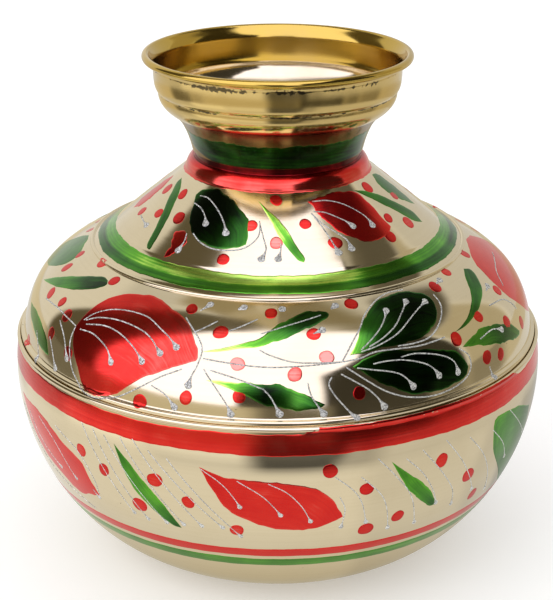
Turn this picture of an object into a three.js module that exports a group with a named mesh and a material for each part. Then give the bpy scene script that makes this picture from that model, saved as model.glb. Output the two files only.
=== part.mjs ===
// A brass water pot of the south Asian kind. Two spun halves lap at the belly, and a
// funnel neck with a wired lip laps over the shoulder's spigot. Every piece is a round of
// thin sheet, so each one is drawn as the line of its outer face, from its lower edge to
// its upper edge, and the sheet's thickness is laid on the inner side of that line.
// Sizes are in millimetres, +Z is up, and the origin is the middle of the flat base.

import * as THREE from 'three';
import { mergeVertices } from 'three/addons/utils/BufferGeometryUtils.js';

// Sheet, fit and facets
const SHEET = 0.9; // thickness of the spun brass
const FIT = 0.3; // clearance wherever one piece lies against another
const FACETS = 48; // flats round the pot
const SAME_POINT = 0.02; // points nearer than this are one

// Lower bowl
const BASE_RADIUS = 50; // flat the pot stands on
const BELLY_RADIUS = 125.7; // widest circle, outside
const BELLY_HEIGHT = 92; // height of the widest circle
const BOWL_FULLNESS = 1.9; // 2 makes the side an ellipse, less makes it straighter
const TUCK_RISE = 17.3; // from the widest circle to the top of the bowl's lip
const TUCK_IN = 1.4; // how far the wall draws in over that height
const LIP_BEAD = 1.1; // radius of the bead round the bowl's lip
const LIP_STAND = 0.6; // how far that bead stands out from the wall

// Upper shell, from the lap to the spigot
const LAP_DEPTH = 8.5; // how far the shell's skirt reaches down inside the bowl
const STEP_SHOW = 1.1; // height of skirt left in view above the bowl's lip
const STEP_CORNER = 1; // round of the swaged step
const STEP_IN = 1.9; // how far the step draws the shell in
const DOME_RISE = 38.7; // from the top of the step to the shoulder
const SHOULDER_RADIUS = 88.4; // where the dome meets the shoulder bead
const SHOULDER_BEAD = 1.1; // radius of the small bead round the shoulder
const SHOULDER_GROOVE = 0.3; // groove between that bead and the roll above it
const ROLL_REACH = 10.9; // width of the rolled shoulder step, seen from above
const ROLL_RISE = 7; // height of the rolled shoulder step
const CONE_RISE = 26.4; // height of the cone above the roll
const COLLAR_WIDTH = 4.5; // from the spigot out to the top of the cone
const COLLAR_RISE = 5.7; // height of the rounded collar above the cone
const COLLAR_LEDGE = 1.1; // ledge round the spigot at the collar's top
const SPIGOT_RADIUS = 38.7; // outside of the spigot that the neck laps
const SPIGOT_SHOW = 3.2; // height of spigot left in view below the neck's foot
const SPIGOT_LAP = 5; // height of spigot inside the neck's foot

// Neck, from its foot to its lip
const THROAT_RISE = 17.8; // hollow curve, from the foot to the lower crease
const THROAT_FLARE = 9.4; // how far that curve opens
const RING_RISE = 9.6; // rounded ring, from the lower crease to the upper crease
const RING_FLARE = 5.9; // how far the ring opens
const CREASE_RISE = 0.7; // height of the narrow upper crease
const CREASE_STEP = 0.5; // how far the band's foot stands out over that crease
const BAND_RISE = 10.7; // upright band above the crease
const BAND_FLARE = 1.5; // how far the band opens
const LIP_RISE = 4.3; // from the band's top edge to the middle of the wire
const LIP_FLARE = 3.3; // how far the wire's middle lies outside the band
const WIRE_RADIUS = 0.5; // wire inside the rolled lip

// Braze
const BRAZE_ROOT = 0.3; // thickness of a seam's braze at its thin end
const BRAZE_FILLET = 0.8; // how far the braze runs past the edge that it holds

// Heights that follow from the sizes above
const seamHeight = BELLY_HEIGHT + TUCK_RISE;
const skirtFoot = seamHeight - LAP_DEPTH;
const stepTop = seamHeight + STEP_SHOW + 2 * STEP_CORNER;
const shoulderHeight = stepTop + DOME_RISE;
const rollTop = shoulderHeight + 2 * SHOULDER_BEAD * Math.SQRT1_2 + ROLL_RISE;
const coneTop = rollTop + CONE_RISE;
const collarTop = coneTop + COLLAR_RISE;
const footHeight = collarTop + SPIGOT_SHOW;
const spigotTop = footHeight + SPIGOT_LAP;
const ringHeight = footHeight + THROAT_RISE;
const creaseHeight = ringHeight + RING_RISE;
const bandHeight = creaseHeight + CREASE_RISE;
const mouthHeight = bandHeight + BAND_RISE;
const wireHeight = mouthHeight + LIP_RISE;

// Radii that follow from the sizes above
const bowlSeamRadius = BELLY_RADIUS - TUCK_IN;
const skirtRadius = bowlSeamRadius - SHEET - FIT;
const stepRadius = skirtRadius - STEP_IN;
const footRadius = SPIGOT_RADIUS + FIT + SHEET;
const ringRadius = footRadius + THROAT_FLARE;
const creaseRadius = ringRadius + RING_FLARE;
const bandRadius = creaseRadius + CREASE_STEP;
const mouthRadius = bandRadius + BAND_FLARE;
const wireRing = mouthRadius + LIP_FLARE;

const at = (radius, height) => new THREE.Vector2(radius, height);

// Curves of a profile. Each pull is a share of the way out and a share of the way up
// from the curve's start to its end.

function between(from, to, [out, up]) {
  return at(from.x + out * (to.x - from.x), from.y + up * (to.y - from.y));
}

function sweep(from, to, pullFrom, pullTo, steps) {
  return new THREE.CubicBezierCurve(
    from, between(from, to, pullFrom), between(from, to, pullTo), to).getPoints(steps);
}

function bend(from, to, pull, steps) {
  return new THREE.QuadraticBezierCurve(from, between(from, to, pull), to).getPoints(steps);
}

// Angles in degrees, counted from the outward direction towards up
function arc(centre, radius, start, end, steps) {
  const turn = THREE.MathUtils.degToRad;
  const clockwise = end < start;
  const curve = new THREE.EllipseCurve(
    centre.x, centre.y, radius, radius, turn(start), turn(end), clockwise);
  return curve.getPoints(steps);
}

// Leaves out each point that lies nearer than a distance to the one kept before it
function thinned(points, distance) {
  const line = [];
  for (const point of points) {
    const last = line.at(-1);
    if (!last || last.distanceTo(point) > distance) line.push(point);
  }
  return line;
}

// Joins stretches of a profile into one line, without the points that they share
function chain(...stretches) {
  return thinned(stretches.flat(), SAME_POINT);
}

function distanceToLine(point, line) {
  let least = Infinity;
  for (let i = 1; i < line.length; i += 1) {
    const along = line[i].clone().sub(line[i - 1]);
    const run = point.clone().sub(line[i - 1]).dot(along) / along.lengthSq();
    const share = THREE.MathUtils.clamp(run, 0, 1);
    const nearest = line[i - 1].clone().addScaledVector(along, share);
    least = Math.min(least, nearest.distanceTo(point));
  }
  return least;
}

// The sheet's other face: each point moves square to the line, to the left of its run. In
// a bend tighter than the sheet is thick the moved points cross over and come too near
// the line. They are dropped, as metal folds up on the inside of such a bend.
function otherFace(line, thickness) {
  const leastTurn = 0.5;
  const tooNear = 0.97 * thickness;
  const moved = line.map((point, i) => {
    const before = point.clone().sub(line[Math.max(i - 1, 0)]).normalize();
    const after = line[Math.min(i + 1, line.length - 1)].clone().sub(point).normalize();
    const run = before.clone().add(after).normalize();
    const edge = i === 0 ? after : before;
    const reach = thickness / Math.max(run.dot(edge), leastTurn);
    return at(point.x - run.y * reach, point.y + run.x * reach);
  });
  const clear = moved.filter((point) => distanceToLine(point, line) > tooNear);
  return thinned(clear, thickness / 2);
}

// Where a line that narrows or widens steadily reaches a radius, and where it reaches a
// height
function heightAtRadius(line, radius) {
  for (let i = 1; i < line.length; i += 1) {
    const low = line[i - 1];
    const high = line[i];
    const share = (radius - low.x) / (high.x - low.x);
    if (share >= 0 && share <= 1) return low.y + share * (high.y - low.y);
  }
  return NaN;
}

function radiusAtHeight(line, height) {
  for (let i = 1; i < line.length; i += 1) {
    const low = line[i - 1];
    const high = line[i];
    const share = (height - low.y) / (high.y - low.y);
    if (share >= 0 && share <= 1) return low.x + share * (high.x - low.x);
  }
  return NaN;
}

// Turns a closed outline round the pot's axis. The outline may also start and end on it.
function revolve(name, outline, finish) {
  const onAxis = outline[0].x === 0;
  const points = onAxis ? outline : [...outline, outline[0].clone()];
  const lathe = new THREE.LatheGeometry(points, FACETS);
  lathe.deleteAttribute('normal');
  lathe.deleteAttribute('uv');
  lathe.rotateX(Math.PI / 2);
  const solid = mergeVertices(lathe, SAME_POINT / 10);
  keepWholeFaces(solid);
  solid.computeVertexNormals();
  const mesh = new THREE.Mesh(solid, new THREE.MeshStandardMaterial(finish));
  mesh.name = name;
  return mesh;
}

// Drops the faces that closed up on the axis, and turns the rest outwards
function keepWholeFaces(solid) {
  const corners = solid.index.array;
  const place = solid.attributes.position;
  const [a, b, c] = [new THREE.Vector3(), new THREE.Vector3(), new THREE.Vector3()];
  const faces = [];
  let volume = 0;
  for (let i = 0; i < corners.length; i += 3) {
    const face = [corners[i], corners[i + 1], corners[i + 2]];
    if (new Set(face).size === 3) {
      faces.push(face);
      a.fromBufferAttribute(place, face[0]);
      b.fromBufferAttribute(place, face[1]);
      c.fromBufferAttribute(place, face[2]);
      volume += a.dot(b.cross(c)) / 6;
    }
  }
  solid.setIndex(faces.flatMap((face) => (volume < 0 ? face.reverse() : face)));
}

// Lower bowl: flat base, full side and a slight tuck above the belly. The side is a
// superellipse between the edge of the base and the widest circle.

function bowlWall() {
  const power = 2 / BOWL_FULLNESS;
  const sideSteps = 11;
  const side = Array.from({ length: sideSteps + 1 }, (_, i) => {
    const angle = (i / sideSteps) * Math.PI / 2;
    const out = Math.sin(angle) ** power;
    const down = Math.cos(angle) ** power;
    const radius = BASE_RADIUS + (BELLY_RADIUS - BASE_RADIUS) * out;
    return at(radius, BELLY_HEIGHT * (1 - down));
  });
  const tuckTop = at(bowlSeamRadius, seamHeight - 2 * LIP_BEAD);
  const tuck = bend(side.at(-1), tuckTop, [0, 0.5], 3);
  return chain([at(0, 0)], side, tuck, [at(bowlSeamRadius, seamHeight)]);
}

const bowlFace = bowlWall();
const bowlInside = otherFace(bowlFace, SHEET);

// The edge is hemmed outwards into a half-round bead
function lowerBowl() {
  const beadMiddle = at(bowlSeamRadius + LIP_STAND - LIP_BEAD, seamHeight - LIP_BEAD);
  const bead = arc(beadMiddle, LIP_BEAD, -60, 90, 4);
  const outside = chain(bowlFace.slice(0, -1), bead);
  const lipInside = at(bowlSeamRadius - SHEET, seamHeight);
  return chain(outside, [lipInside], bowlInside.slice(1, -1).reverse(), [at(0, SHEET)]);
}

// Upper shell: skirt inside the bowl's lip, swaged step, dome, bead and roll at the
// shoulder, cone, collar and the spigot for the neck

function shellFace() {
  const ridgeMiddle = at(skirtRadius - STEP_CORNER, seamHeight + STEP_SHOW);
  const ridge = arc(ridgeMiddle, STEP_CORNER, 0, 80, 2);
  const cove = bend(ridge.at(-1), at(stepRadius, stepTop), [1, 0.1], 2);
  const shoulder = at(SHOULDER_RADIUS, shoulderHeight);
  const dome = sweep(cove.at(-1), shoulder, [0.1, 0.5], [0.31, 0.73], 7);

  const beadShare = SHOULDER_BEAD * Math.SQRT1_2;
  const beadMiddle = at(SHOULDER_RADIUS - beadShare, shoulderHeight + beadShare / 2);
  const bead = arc(beadMiddle, SHOULDER_BEAD, 10, 120, 4);
  const rollFoot = at(bead.at(-1).x - SHOULDER_GROOVE, bead.at(-1).y - SHOULDER_GROOVE);
  const rollHead = at(SHOULDER_RADIUS - 2 * SHOULDER_BEAD - ROLL_REACH, rollTop);
  const roll = sweep(rollFoot, rollHead, [0.3, 0.34], [0.68, 0.53], 4);

  const coneEnd = at(SPIGOT_RADIUS + COLLAR_WIDTH, coneTop);
  const collarEdge = at(SPIGOT_RADIUS + COLLAR_LEDGE, collarTop);
  const collar = bend(coneEnd, collarEdge, [0.27, 0.76], 3);
  const spigot = [at(SPIGOT_RADIUS, collarTop), at(SPIGOT_RADIUS, spigotTop)];
  return chain([at(skirtRadius, skirtFoot)], ridge, cove, dome, bead, roll, collar, spigot);
}

// Neck: foot over the spigot, hollow throat, rounded ring between two creases, upright
// band, and a lip rolled outwards round its wire

function neckFace() {
  const foot = at(footRadius, footHeight);
  const lowerCrease = at(ringRadius, ringHeight);
  const upperCrease = at(creaseRadius, creaseHeight);
  const bandFoot = at(bandRadius, bandHeight);
  const mouth = at(mouthRadius, mouthHeight);
  const throat = sweep(foot, lowerCrease, [0.15, 0.35], [0.41, 0.8], 5);
  const ring = sweep(lowerCrease, upperCrease, [0.5, 0.22], [1.03, 0.5], 4);
  const band = sweep(bandFoot, mouth, [0.8, 0.12], [1.07, 0.5], 3);

  // The sheet's face turns round the wire at the wire's radius plus the clearance
  const roll = arc(at(wireRing, wireHeight), WIRE_RADIUS + FIT, 150, -120, 8);
  const flare = sweep(mouth, roll[0], [0.04, 0.37], [0.66, 0.67], 3);
  return chain(throat, ring, band, flare, roll);
}

// A sheet piece: its outer face, then its inner face back to the start
function sheetOutline(face, inside) {
  return chain(face, [...inside].reverse());
}

// Braze at the belly: a fillet in the wedge between the skirt and the bowl, which runs
// down past the skirt's edge and a little under it
function bellyBraze() {
  const inner = skirtRadius + FIT;
  const tuck = bowlInside.filter((point) => point.y > BELLY_HEIGHT - SHEET);
  const thinEnd = heightAtRadius(tuck, inner + BRAZE_ROOT + FIT);
  const edge = skirtFoot - FIT;
  const foot = edge - BRAZE_FILLET;
  return [
    at(inner, edge),
    at(skirtRadius - SHEET / 2, edge),
    at(radiusAtHeight(tuck, foot) - FIT, foot),
    at(radiusAtHeight(tuck, edge) - FIT, edge),
    at(inner + BRAZE_ROOT, thinEnd),
    at(inner, thinEnd),
  ];
}

// Braze at the neck: a fillet in the wedge between the spigot and the neck's foot, which
// runs up past the spigot's edge and a little over it
function neckBraze(neckInside) {
  const inner = SPIGOT_RADIUS + FIT;
  const throat = neckInside.filter((point) => point.y < ringHeight);
  const thinEnd = heightAtRadius(throat, inner + BRAZE_ROOT + FIT);
  const edge = spigotTop + FIT;
  const head = edge + BRAZE_FILLET;
  return [
    at(inner, thinEnd),
    at(inner + BRAZE_ROOT, thinEnd),
    at(radiusAtHeight(throat, edge) - FIT, edge),
    at(radiusAtHeight(throat, head) - FIT, head),
    at(SPIGOT_RADIUS - SHEET / 2, edge),
    at(inner, edge),
  ];
}

// Finishes
const PALE_BRASS = { color: 0xd9c796, roughness: 0.16, metalness: 1 };
const YELLOW_BRASS = { color: 0xd8b452, roughness: 0.18, metalness: 1 };
const BRAZE_METAL = { color: 0xb98e4a, roughness: 0.5, metalness: 1 };
const IRON = { color: 0x6f6b66, roughness: 0.55, metalness: 1 };

const shellLine = shellFace();
const neckLine = neckFace();
const neckInside = otherFace(neckLine, SHEET);
const wire = arc(at(wireRing, wireHeight), WIRE_RADIUS, 0, 360, 8).slice(0, -1);

const pot = new THREE.Group();
pot.name = 'water_pot';
pot.add(
  revolve('lower_bowl', lowerBowl(), PALE_BRASS),
  revolve('upper_shell', sheetOutline(shellLine, otherFace(shellLine, SHEET)), PALE_BRASS),
  revolve('neck', sheetOutline(neckLine, neckInside), YELLOW_BRASS),
  revolve('lip_wire', wire, IRON),
  revolve('belly_seam_braze', bellyBraze(), BRAZE_METAL),
  revolve('neck_seam_braze', neckBraze(neckInside), BRAZE_METAL),
);

export default pot;
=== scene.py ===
# %% [markdown]
# # A painted brass water pot
#
# The real pot is spun from thin brass sheet in two halves, which lap at the belly, and a
# funnel neck. It is polished, and then painted by hand with clear red and green lacquer
# and with lines of silver glitter paste squeezed from a cone.
#
# The construction comes packed, as faceted solids. This script keeps its sizes, draws the
# same sheet pieces much finer, and lays the paint on them as thin real patches, so that
# every brush mark has an edge of its own.

import bmesh
import bpy
import numpy as np
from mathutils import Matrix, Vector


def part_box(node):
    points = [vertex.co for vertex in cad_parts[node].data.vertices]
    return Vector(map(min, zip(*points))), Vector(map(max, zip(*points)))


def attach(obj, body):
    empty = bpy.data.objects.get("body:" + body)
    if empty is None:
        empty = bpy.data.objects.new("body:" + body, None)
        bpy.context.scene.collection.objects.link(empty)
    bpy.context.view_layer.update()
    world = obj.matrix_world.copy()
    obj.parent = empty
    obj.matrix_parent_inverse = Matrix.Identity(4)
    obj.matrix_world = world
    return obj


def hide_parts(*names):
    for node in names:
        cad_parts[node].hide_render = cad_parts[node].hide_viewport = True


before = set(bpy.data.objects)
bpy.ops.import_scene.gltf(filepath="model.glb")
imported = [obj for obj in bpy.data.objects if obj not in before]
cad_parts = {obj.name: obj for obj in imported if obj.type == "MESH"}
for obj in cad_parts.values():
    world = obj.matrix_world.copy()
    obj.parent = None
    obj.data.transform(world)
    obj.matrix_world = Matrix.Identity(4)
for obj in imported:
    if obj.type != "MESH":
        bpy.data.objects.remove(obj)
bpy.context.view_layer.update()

MM = 0.001
print("nodes", sorted(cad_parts))

# %% [markdown]
# ## Sizes
#
# What other pieces depend on is read from the frame: the widest circle, the seam, the
# skirt's foot, the spigot's top and the neck's foot. The small forms, such as a bead, are
# named here in millimetres. The metal lies a hair inside the solids, so that the paint on it
# has room.

# %% Sizes in millimetres
PAINT_ROOM = 0.3
_, bowl_high = (np.array(c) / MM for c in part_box("lower_bowl"))
shell_low, shell_high = (np.array(c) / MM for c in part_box("upper_shell"))
neck_low, _ = (np.array(c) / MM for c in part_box("neck"))

SHEET = 0.9
FIT = 0.3
BELLY_RADIUS = bowl_high[0] - PAINT_ROOM
SEAM_HEIGHT = bowl_high[2]
SKIRT_FOOT = shell_low[2]
SPIGOT_TOP = shell_high[2]
FOOT_HEIGHT = neck_low[2]

BASE_RADIUS, BOWL_FULLNESS = 50 - PAINT_ROOM, 1.9
TUCK_RISE, TUCK_IN, LIP_BEAD, LIP_STAND = 17.3, 1.4, 1.1, 0.6
STEP_SHOW, STEP_CORNER, STEP_IN, DOME_RISE = 1.1, 1, 1.9, 38.7
SHOULDER_RADIUS, SHOULDER_BEAD, SHOULDER_GROOVE = 88.4 - PAINT_ROOM, 1.1, 0.3
ROLL_REACH, ROLL_RISE, CONE_RISE = 10.9, 7, 26.4
SPIGOT_RADIUS = 38.7 - PAINT_ROOM
COLLAR_WIDTH, COLLAR_RISE, COLLAR_LEDGE = 4.5, 5.7, 1.1
THROAT_RISE, THROAT_FLARE, RING_RISE, RING_FLARE = 17.8, 9.4, 9.6, 5.9
CREASE_RISE, CREASE_STEP, BAND_RISE, BAND_FLARE = 0.7, 0.5, 10.7, 1.5
LIP_RISE, LIP_FLARE, WIRE_RADIUS = 4.3, 3.3, 0.5
print("belly radius", round(float(BELLY_RADIUS), 2), "seam height", round(float(SEAM_HEIGHT), 2))

# %% [markdown]
# ## Curves of a profile
#
# A spun piece is known by the line of its outer face. Each stretch of that line is a
# Bezier curve or an arc. The points of a stretch crowd towards its ends, so a crease
# between two stretches stays crisp while the middle stays light.

# %% Curve helpers
def at(radius, height):
    """One point of a profile, as an array of one row."""
    return np.array([[radius, height]], float)


def shares(steps):
    """Shares from 0 to 1 that crowd at both ends: half of one minus the cosine of an angle
    that runs evenly from 0 to a half turn."""
    return ((1 - np.cos(np.linspace(0, np.pi, steps + 1))) / 2)[:, None]


def between(start, end, pull):
    """The start, plus a share of the way out and a share of the way up to the end."""
    return start + np.array(pull) * (end - start)


def sweep(start, end, pull_start, pull_end, steps):
    """A cubic Bezier curve: its four points weighted by the terms of (1 - t + t) cubed."""
    t = shares(steps)
    near, far = between(start, end, pull_start), between(start, end, pull_end)
    return (1 - t)**3 * start + 3 * (1 - t)**2 * t * near + 3 * (1 - t) * t**2 * far + t**3 * end


def bend(start, end, pull, steps):
    """A quadratic Bezier curve: its three points weighted by the terms of (1 - t + t) squared."""
    t = shares(steps)
    return (1 - t)**2 * start + 2 * (1 - t) * t * between(start, end, pull) + t**2 * end


def arc(centre, radius, start, end, steps):
    """Centre plus radius times the cosine and sine of angles from start to end, in degrees."""
    angle = np.radians(np.linspace(start, end, steps + 1))
    return centre + radius * np.stack([np.cos(angle), np.sin(angle)], 1)


def chain(*stretches, nearest=0.01):
    """The stretches one after another, without points nearer than nearest to the last one."""
    line = np.concatenate(stretches)
    kept = np.hypot(*np.diff(line, axis=0).T) > nearest
    return line[np.concatenate([[True], kept])]


def run_along(line):
    """Distance along a line at each of its points."""
    return np.concatenate([[0], np.cumsum(np.hypot(*np.diff(line, axis=0).T))])


def round_axis(radius, angle, height):
    """Points carried round the axis from the front to the right, by an angle in radians:
    radius times sine, minus radius times cosine, height."""
    return np.stack(np.broadcast_arrays(radius * np.sin(angle), -radius * np.cos(angle), height), -1)


# %% [markdown]
# ## The three outer faces
#
# The bowl's side is a superellipse from the base to the widest circle. The shell starts
# with the skirt that hides inside the bowl's lip, steps in, and rises as dome, shoulder
# bead, roll, cone, collar and spigot. The neck's foot laps outside that spigot.

# %% Outer faces, from the lower edge to the upper edge
def bowl_face():
    """Side: radius and height follow the sine and cosine of an angle raised to 2 / fullness."""
    angle, power = shares(64) * np.pi / 2, 2 / BOWL_FULLNESS
    belly_height = SEAM_HEIGHT - TUCK_RISE
    out = BASE_RADIUS + (BELLY_RADIUS - BASE_RADIUS) * np.sin(angle) ** power
    side = np.hstack([out, belly_height * (1 - np.cos(angle) ** power)])
    lip = BELLY_RADIUS - TUCK_IN
    tuck = bend(side[-1:], at(lip, SEAM_HEIGHT - 2 * LIP_BEAD), [0, 0.5], 12)
    bead_middle = at(lip + LIP_STAND - LIP_BEAD, SEAM_HEIGHT - LIP_BEAD)
    return chain(side, tuck, arc(bead_middle, LIP_BEAD, -60, 90, 12))


def shell_face():
    """Skirt, ridge, cove, dome, bead, roll, cone, collar and spigot in one line."""
    skirt = BELLY_RADIUS - TUCK_IN - SHEET - FIT
    ridge = arc(at(skirt - STEP_CORNER, SEAM_HEIGHT + STEP_SHOW), STEP_CORNER, 0, 80, 6)
    step_top = SEAM_HEIGHT + STEP_SHOW + 2 * STEP_CORNER
    cove = bend(ridge[-1:], at(skirt - STEP_IN, step_top), [1, 0.1], 6)
    shoulder = at(SHOULDER_RADIUS, step_top + DOME_RISE)
    dome = sweep(cove[-1:], shoulder, [0.1, 0.5], [0.31, 0.73], 44)
    share = SHOULDER_BEAD * 0.5 ** 0.5
    bead = arc(shoulder + [-share, share / 2], SHOULDER_BEAD, 10, 120, 10)
    roll_head = shoulder + [-2 * SHOULDER_BEAD - ROLL_REACH, 2 * share + ROLL_RISE]
    roll = sweep(bead[-1:] - SHOULDER_GROOVE, roll_head, [0.3, 0.34], [0.68, 0.53], 20)
    cone_end = at(SPIGOT_RADIUS + COLLAR_WIDTH, roll_head[0, 1] + CONE_RISE)
    cone = bend(roll_head, cone_end, [0.5, 0.5], 12)
    collar_edge = at(SPIGOT_RADIUS + COLLAR_LEDGE, cone_end[0, 1] + COLLAR_RISE)
    collar = bend(cone_end, collar_edge, [0.27, 0.76], 10)
    spigot_foot, spigot_head = at(SPIGOT_RADIUS, collar_edge[0, 1]), at(SPIGOT_RADIUS, SPIGOT_TOP)
    return chain(at(skirt, SKIRT_FOOT), ridge, cove, dome, bead, roll, cone, collar,
                 spigot_foot, spigot_head)


def neck_face():
    """Hollow throat, rounded ring, upright band, flare, and the lip rolled round its wire."""
    foot = at(SPIGOT_RADIUS + FIT + SHEET, FOOT_HEIGHT)
    lower_crease = foot + [THROAT_FLARE, THROAT_RISE]
    upper_crease = lower_crease + [RING_FLARE, RING_RISE]
    band_foot = upper_crease + [CREASE_STEP, CREASE_RISE]
    mouth = band_foot + [BAND_FLARE, BAND_RISE]
    lip = arc(mouth + [LIP_FLARE, LIP_RISE], WIRE_RADIUS + FIT, 150, -120, 24)
    return chain(sweep(foot, lower_crease, [0.15, 0.35], [0.41, 0.8], 18),
                 sweep(lower_crease, upper_crease, [0.5, 0.22], [1.03, 0.5], 14),
                 sweep(band_foot, mouth, [0.8, 0.12], [1.07, 0.5], 14),
                 sweep(mouth, lip[:1], [0.04, 0.37], [0.66, 0.67], 10), lip)


FACES = {"bowl": bowl_face(), "shell": shell_face(), "neck": neck_face()}
for name, line in FACES.items():
    print(name, len(line), "points,", run_along(line)[-1].round(1), "mm up the face")

# %% [markdown]
# ## Sheet thickness
#
# Sheet has one thickness all over, so the inner face is the outer one moved square to
# itself. In a tight bend the moved points would cross, so those that come nearer to the
# outer face than the thickness are left out.

# %% The inner face
NEARLY = 0.97


def square_to(line):
    """Unit vectors square to the line, to the right of its run, from the slope at each point."""
    along = np.gradient(line, axis=0)
    along /= np.linalg.norm(along, axis=1)[:, None]
    return np.stack([along[:, 1], -along[:, 0]], 1)


def inner_face(line, thickness):
    """The line moved by the thickness; a point stays if its distance to every stretch of the
    line, found by dropping a perpendicular onto each, is nearly the whole thickness."""
    moved = line - thickness * square_to(line)
    start, along = line[:-1], np.diff(line, axis=0)
    offset = moved[:, None] - start[None]
    share = np.clip((offset * along).sum(2) / (along**2).sum(1), 0, 1)
    distance = np.linalg.norm(offset - share[..., None] * along, axis=2).min(1)
    return chain(moved[distance > NEARLY * thickness], nearest=thickness / 8)


# %% [markdown]
# ## From a grid of points to a mesh
#
# Everything on this pot is a grid: rows along one parameter, columns along the other. A
# grid can close on itself in either direction. Each corner of each face also gets a pair
# of pattern coordinates, which materials read, so marks follow the form.

# %% Grid to mesh
WELD_WITHIN, SHORTEST_EDGE = 1e-7, 1e-8


def grid_faces(rows, columns, loop_rows, loop_columns):
    """Corner numbers of the faces of a grid, and the row and column of each corner before
    it wraps round, for the pattern coordinates."""
    row = np.arange(rows if loop_rows else rows - 1)
    column = np.arange(columns if loop_columns else columns - 1)
    row, column = (a.ravel() for a in np.meshgrid(row, column, indexing="ij"))
    corner_rows = np.stack([row, row, row + 1, row + 1], 1)
    corner_columns = np.stack([column, column + 1, column + 1, column], 1)
    return (corner_rows % rows) * columns + corner_columns % columns, corner_rows, corner_columns


def make_mesh(name, grids, material, weld=False):
    """One object from several grids. A grid is a dict: points (rows, columns, 3) in
    millimetres, pattern (rows + 1, columns + 1, 2), whether its rows and columns close, and
    for paint the thickness at each point."""
    points, faces, pattern, first = [], [], [], 0
    for grid in grids:
        rows, columns = grid["points"].shape[:2]
        corners, corner_rows, corner_columns = grid_faces(rows, columns, grid["rows"], grid["columns"])
        points.append(grid["points"].reshape(-1, 3))
        faces.append(corners + first)
        pattern.append(grid["pattern"][corner_rows, corner_columns].reshape(-1, 2))
        first += rows * columns
    points, faces, pattern = (np.concatenate(a) for a in (points, faces, pattern))
    mesh = bpy.data.meshes.new(name)
    mesh.from_pydata((points * MM).tolist(), [], faces.tolist())
    layer = mesh.uv_layers.new(name="pattern")
    layer.data.foreach_set("uv", pattern.ravel().astype(np.float32))
    if "thickness" in grids[0]:
        laid = np.concatenate([grid["thickness"].ravel() for grid in grids]).astype(np.float32)
        mesh.attributes.new("thickness", "FLOAT", "POINT").data.foreach_set("value", laid)
    if weld:
        work = bmesh.new()
        work.from_mesh(mesh)
        bmesh.ops.remove_doubles(work, verts=work.verts, dist=WELD_WITHIN)
        bmesh.ops.dissolve_degenerate(work, edges=work.edges, dist=SHORTEST_EDGE)
        work.to_mesh(mesh)
        work.free()
    mesh.shade_smooth()
    mesh.materials.append(material)
    piece = bpy.data.objects.new(name, mesh)
    bpy.context.scene.collection.objects.link(piece)
    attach(piece, "root")
    print(name, len(mesh.polygons), "faces")
    return piece


# %% [markdown]
# ## Shader effects shared by the finishes
#
# Three effects serve several materials, so each is a node group. `round the pot` turns
# the pattern coordinates into a place on a cylinder that closes on itself. `spinning
# marks` stretches a noise along the turn, as the polishing wheel leaves it. `handling`
# gives the small black specks and stains that such a pot picks up in the shop.

# %% Node helpers
def node(tree, kind, inputs=None, **settings):
    """A new node with its settings. An input that is a socket is linked, any other is set."""
    made = tree.nodes.new(kind)
    for key, value in settings.items():
        setattr(made, key, value)
    for key, value in (inputs or {}).items():
        if isinstance(value, bpy.types.NodeSocket):
            tree.links.new(value, made.inputs[key])
        else:
            made.inputs[key].default_value = value
    return made


def new_group(name, inputs, outputs):
    """An empty shader group. Its sockets are given as a name and a type, and numbers also
    have a first value."""
    tree = bpy.data.node_groups.new(name, "ShaderNodeTree")
    for label, kind, value in inputs:
        socket = tree.interface.new_socket(name=label, in_out="INPUT", socket_type=kind)
        if value is not None:
            socket.default_value = value
    for label, kind in outputs:
        tree.interface.new_socket(name=label, in_out="OUTPUT", socket_type=kind)
    return tree, tree.nodes.new("NodeGroupInput").outputs, tree.nodes.new("NodeGroupOutput").inputs


def use(tree, group, inputs=None):
    """Places a group in a material, with its own values."""
    return node(tree, "ShaderNodeGroup", inputs, node_tree=group)


def maths(tree, operation, *values, clamp=False):
    """A Math node and its result."""
    made = node(tree, "ShaderNodeMath", dict(enumerate(values)), operation=operation, use_clamp=clamp)
    return made.outputs[0]


def ramp(tree, value, low, high, first=0.0, last=1.0):
    """A smooth step of a value between low and high."""
    made = node(tree, "ShaderNodeMapRange", {0: value, 1: low, 2: high, 3: first, 4: last},
                interpolation_type="SMOOTHSTEP")
    return made.outputs[0]


def blend(tree, share, first, second):
    """A colour between two colours."""
    return node(tree, "ShaderNodeMix", {0: share, 6: first, 7: second}, data_type="RGBA").outputs[2]


def object_place(tree):
    """The place in the object's own frame, in metres."""
    return node(tree, "ShaderNodeTexCoord").outputs["Object"]


def noise(tree, place, scale, detail, roughness=0.5):
    """A noise of the place, from 0 to 1."""
    return node(tree, "ShaderNodeTexNoise", {"Vector": place, "Scale": scale, "Detail": detail,
                                             "Roughness": roughness}).outputs[0]


def bump(tree, height, depth):
    """The surface's direction under a relief of the given depth in metres."""
    return node(tree, "ShaderNodeBump", {"Strength": 1.0, "Distance": depth, "Height": height}).outputs[0]


def dress(tree, shader, colour, roughness, normal, metallic=1.0):
    """Gives a shader its colour, its roughness and its surface's direction."""
    tree.links.new(colour, shader.inputs["Base Color"])
    tree.links.new(roughness, shader.inputs["Roughness"])
    tree.links.new(normal, shader.inputs["Normal"])
    shader.inputs["Metallic"].default_value = metallic


# %% Node groups
FULL_TURN = 2 * np.pi
RUN_SCALE = 100.0

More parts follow.
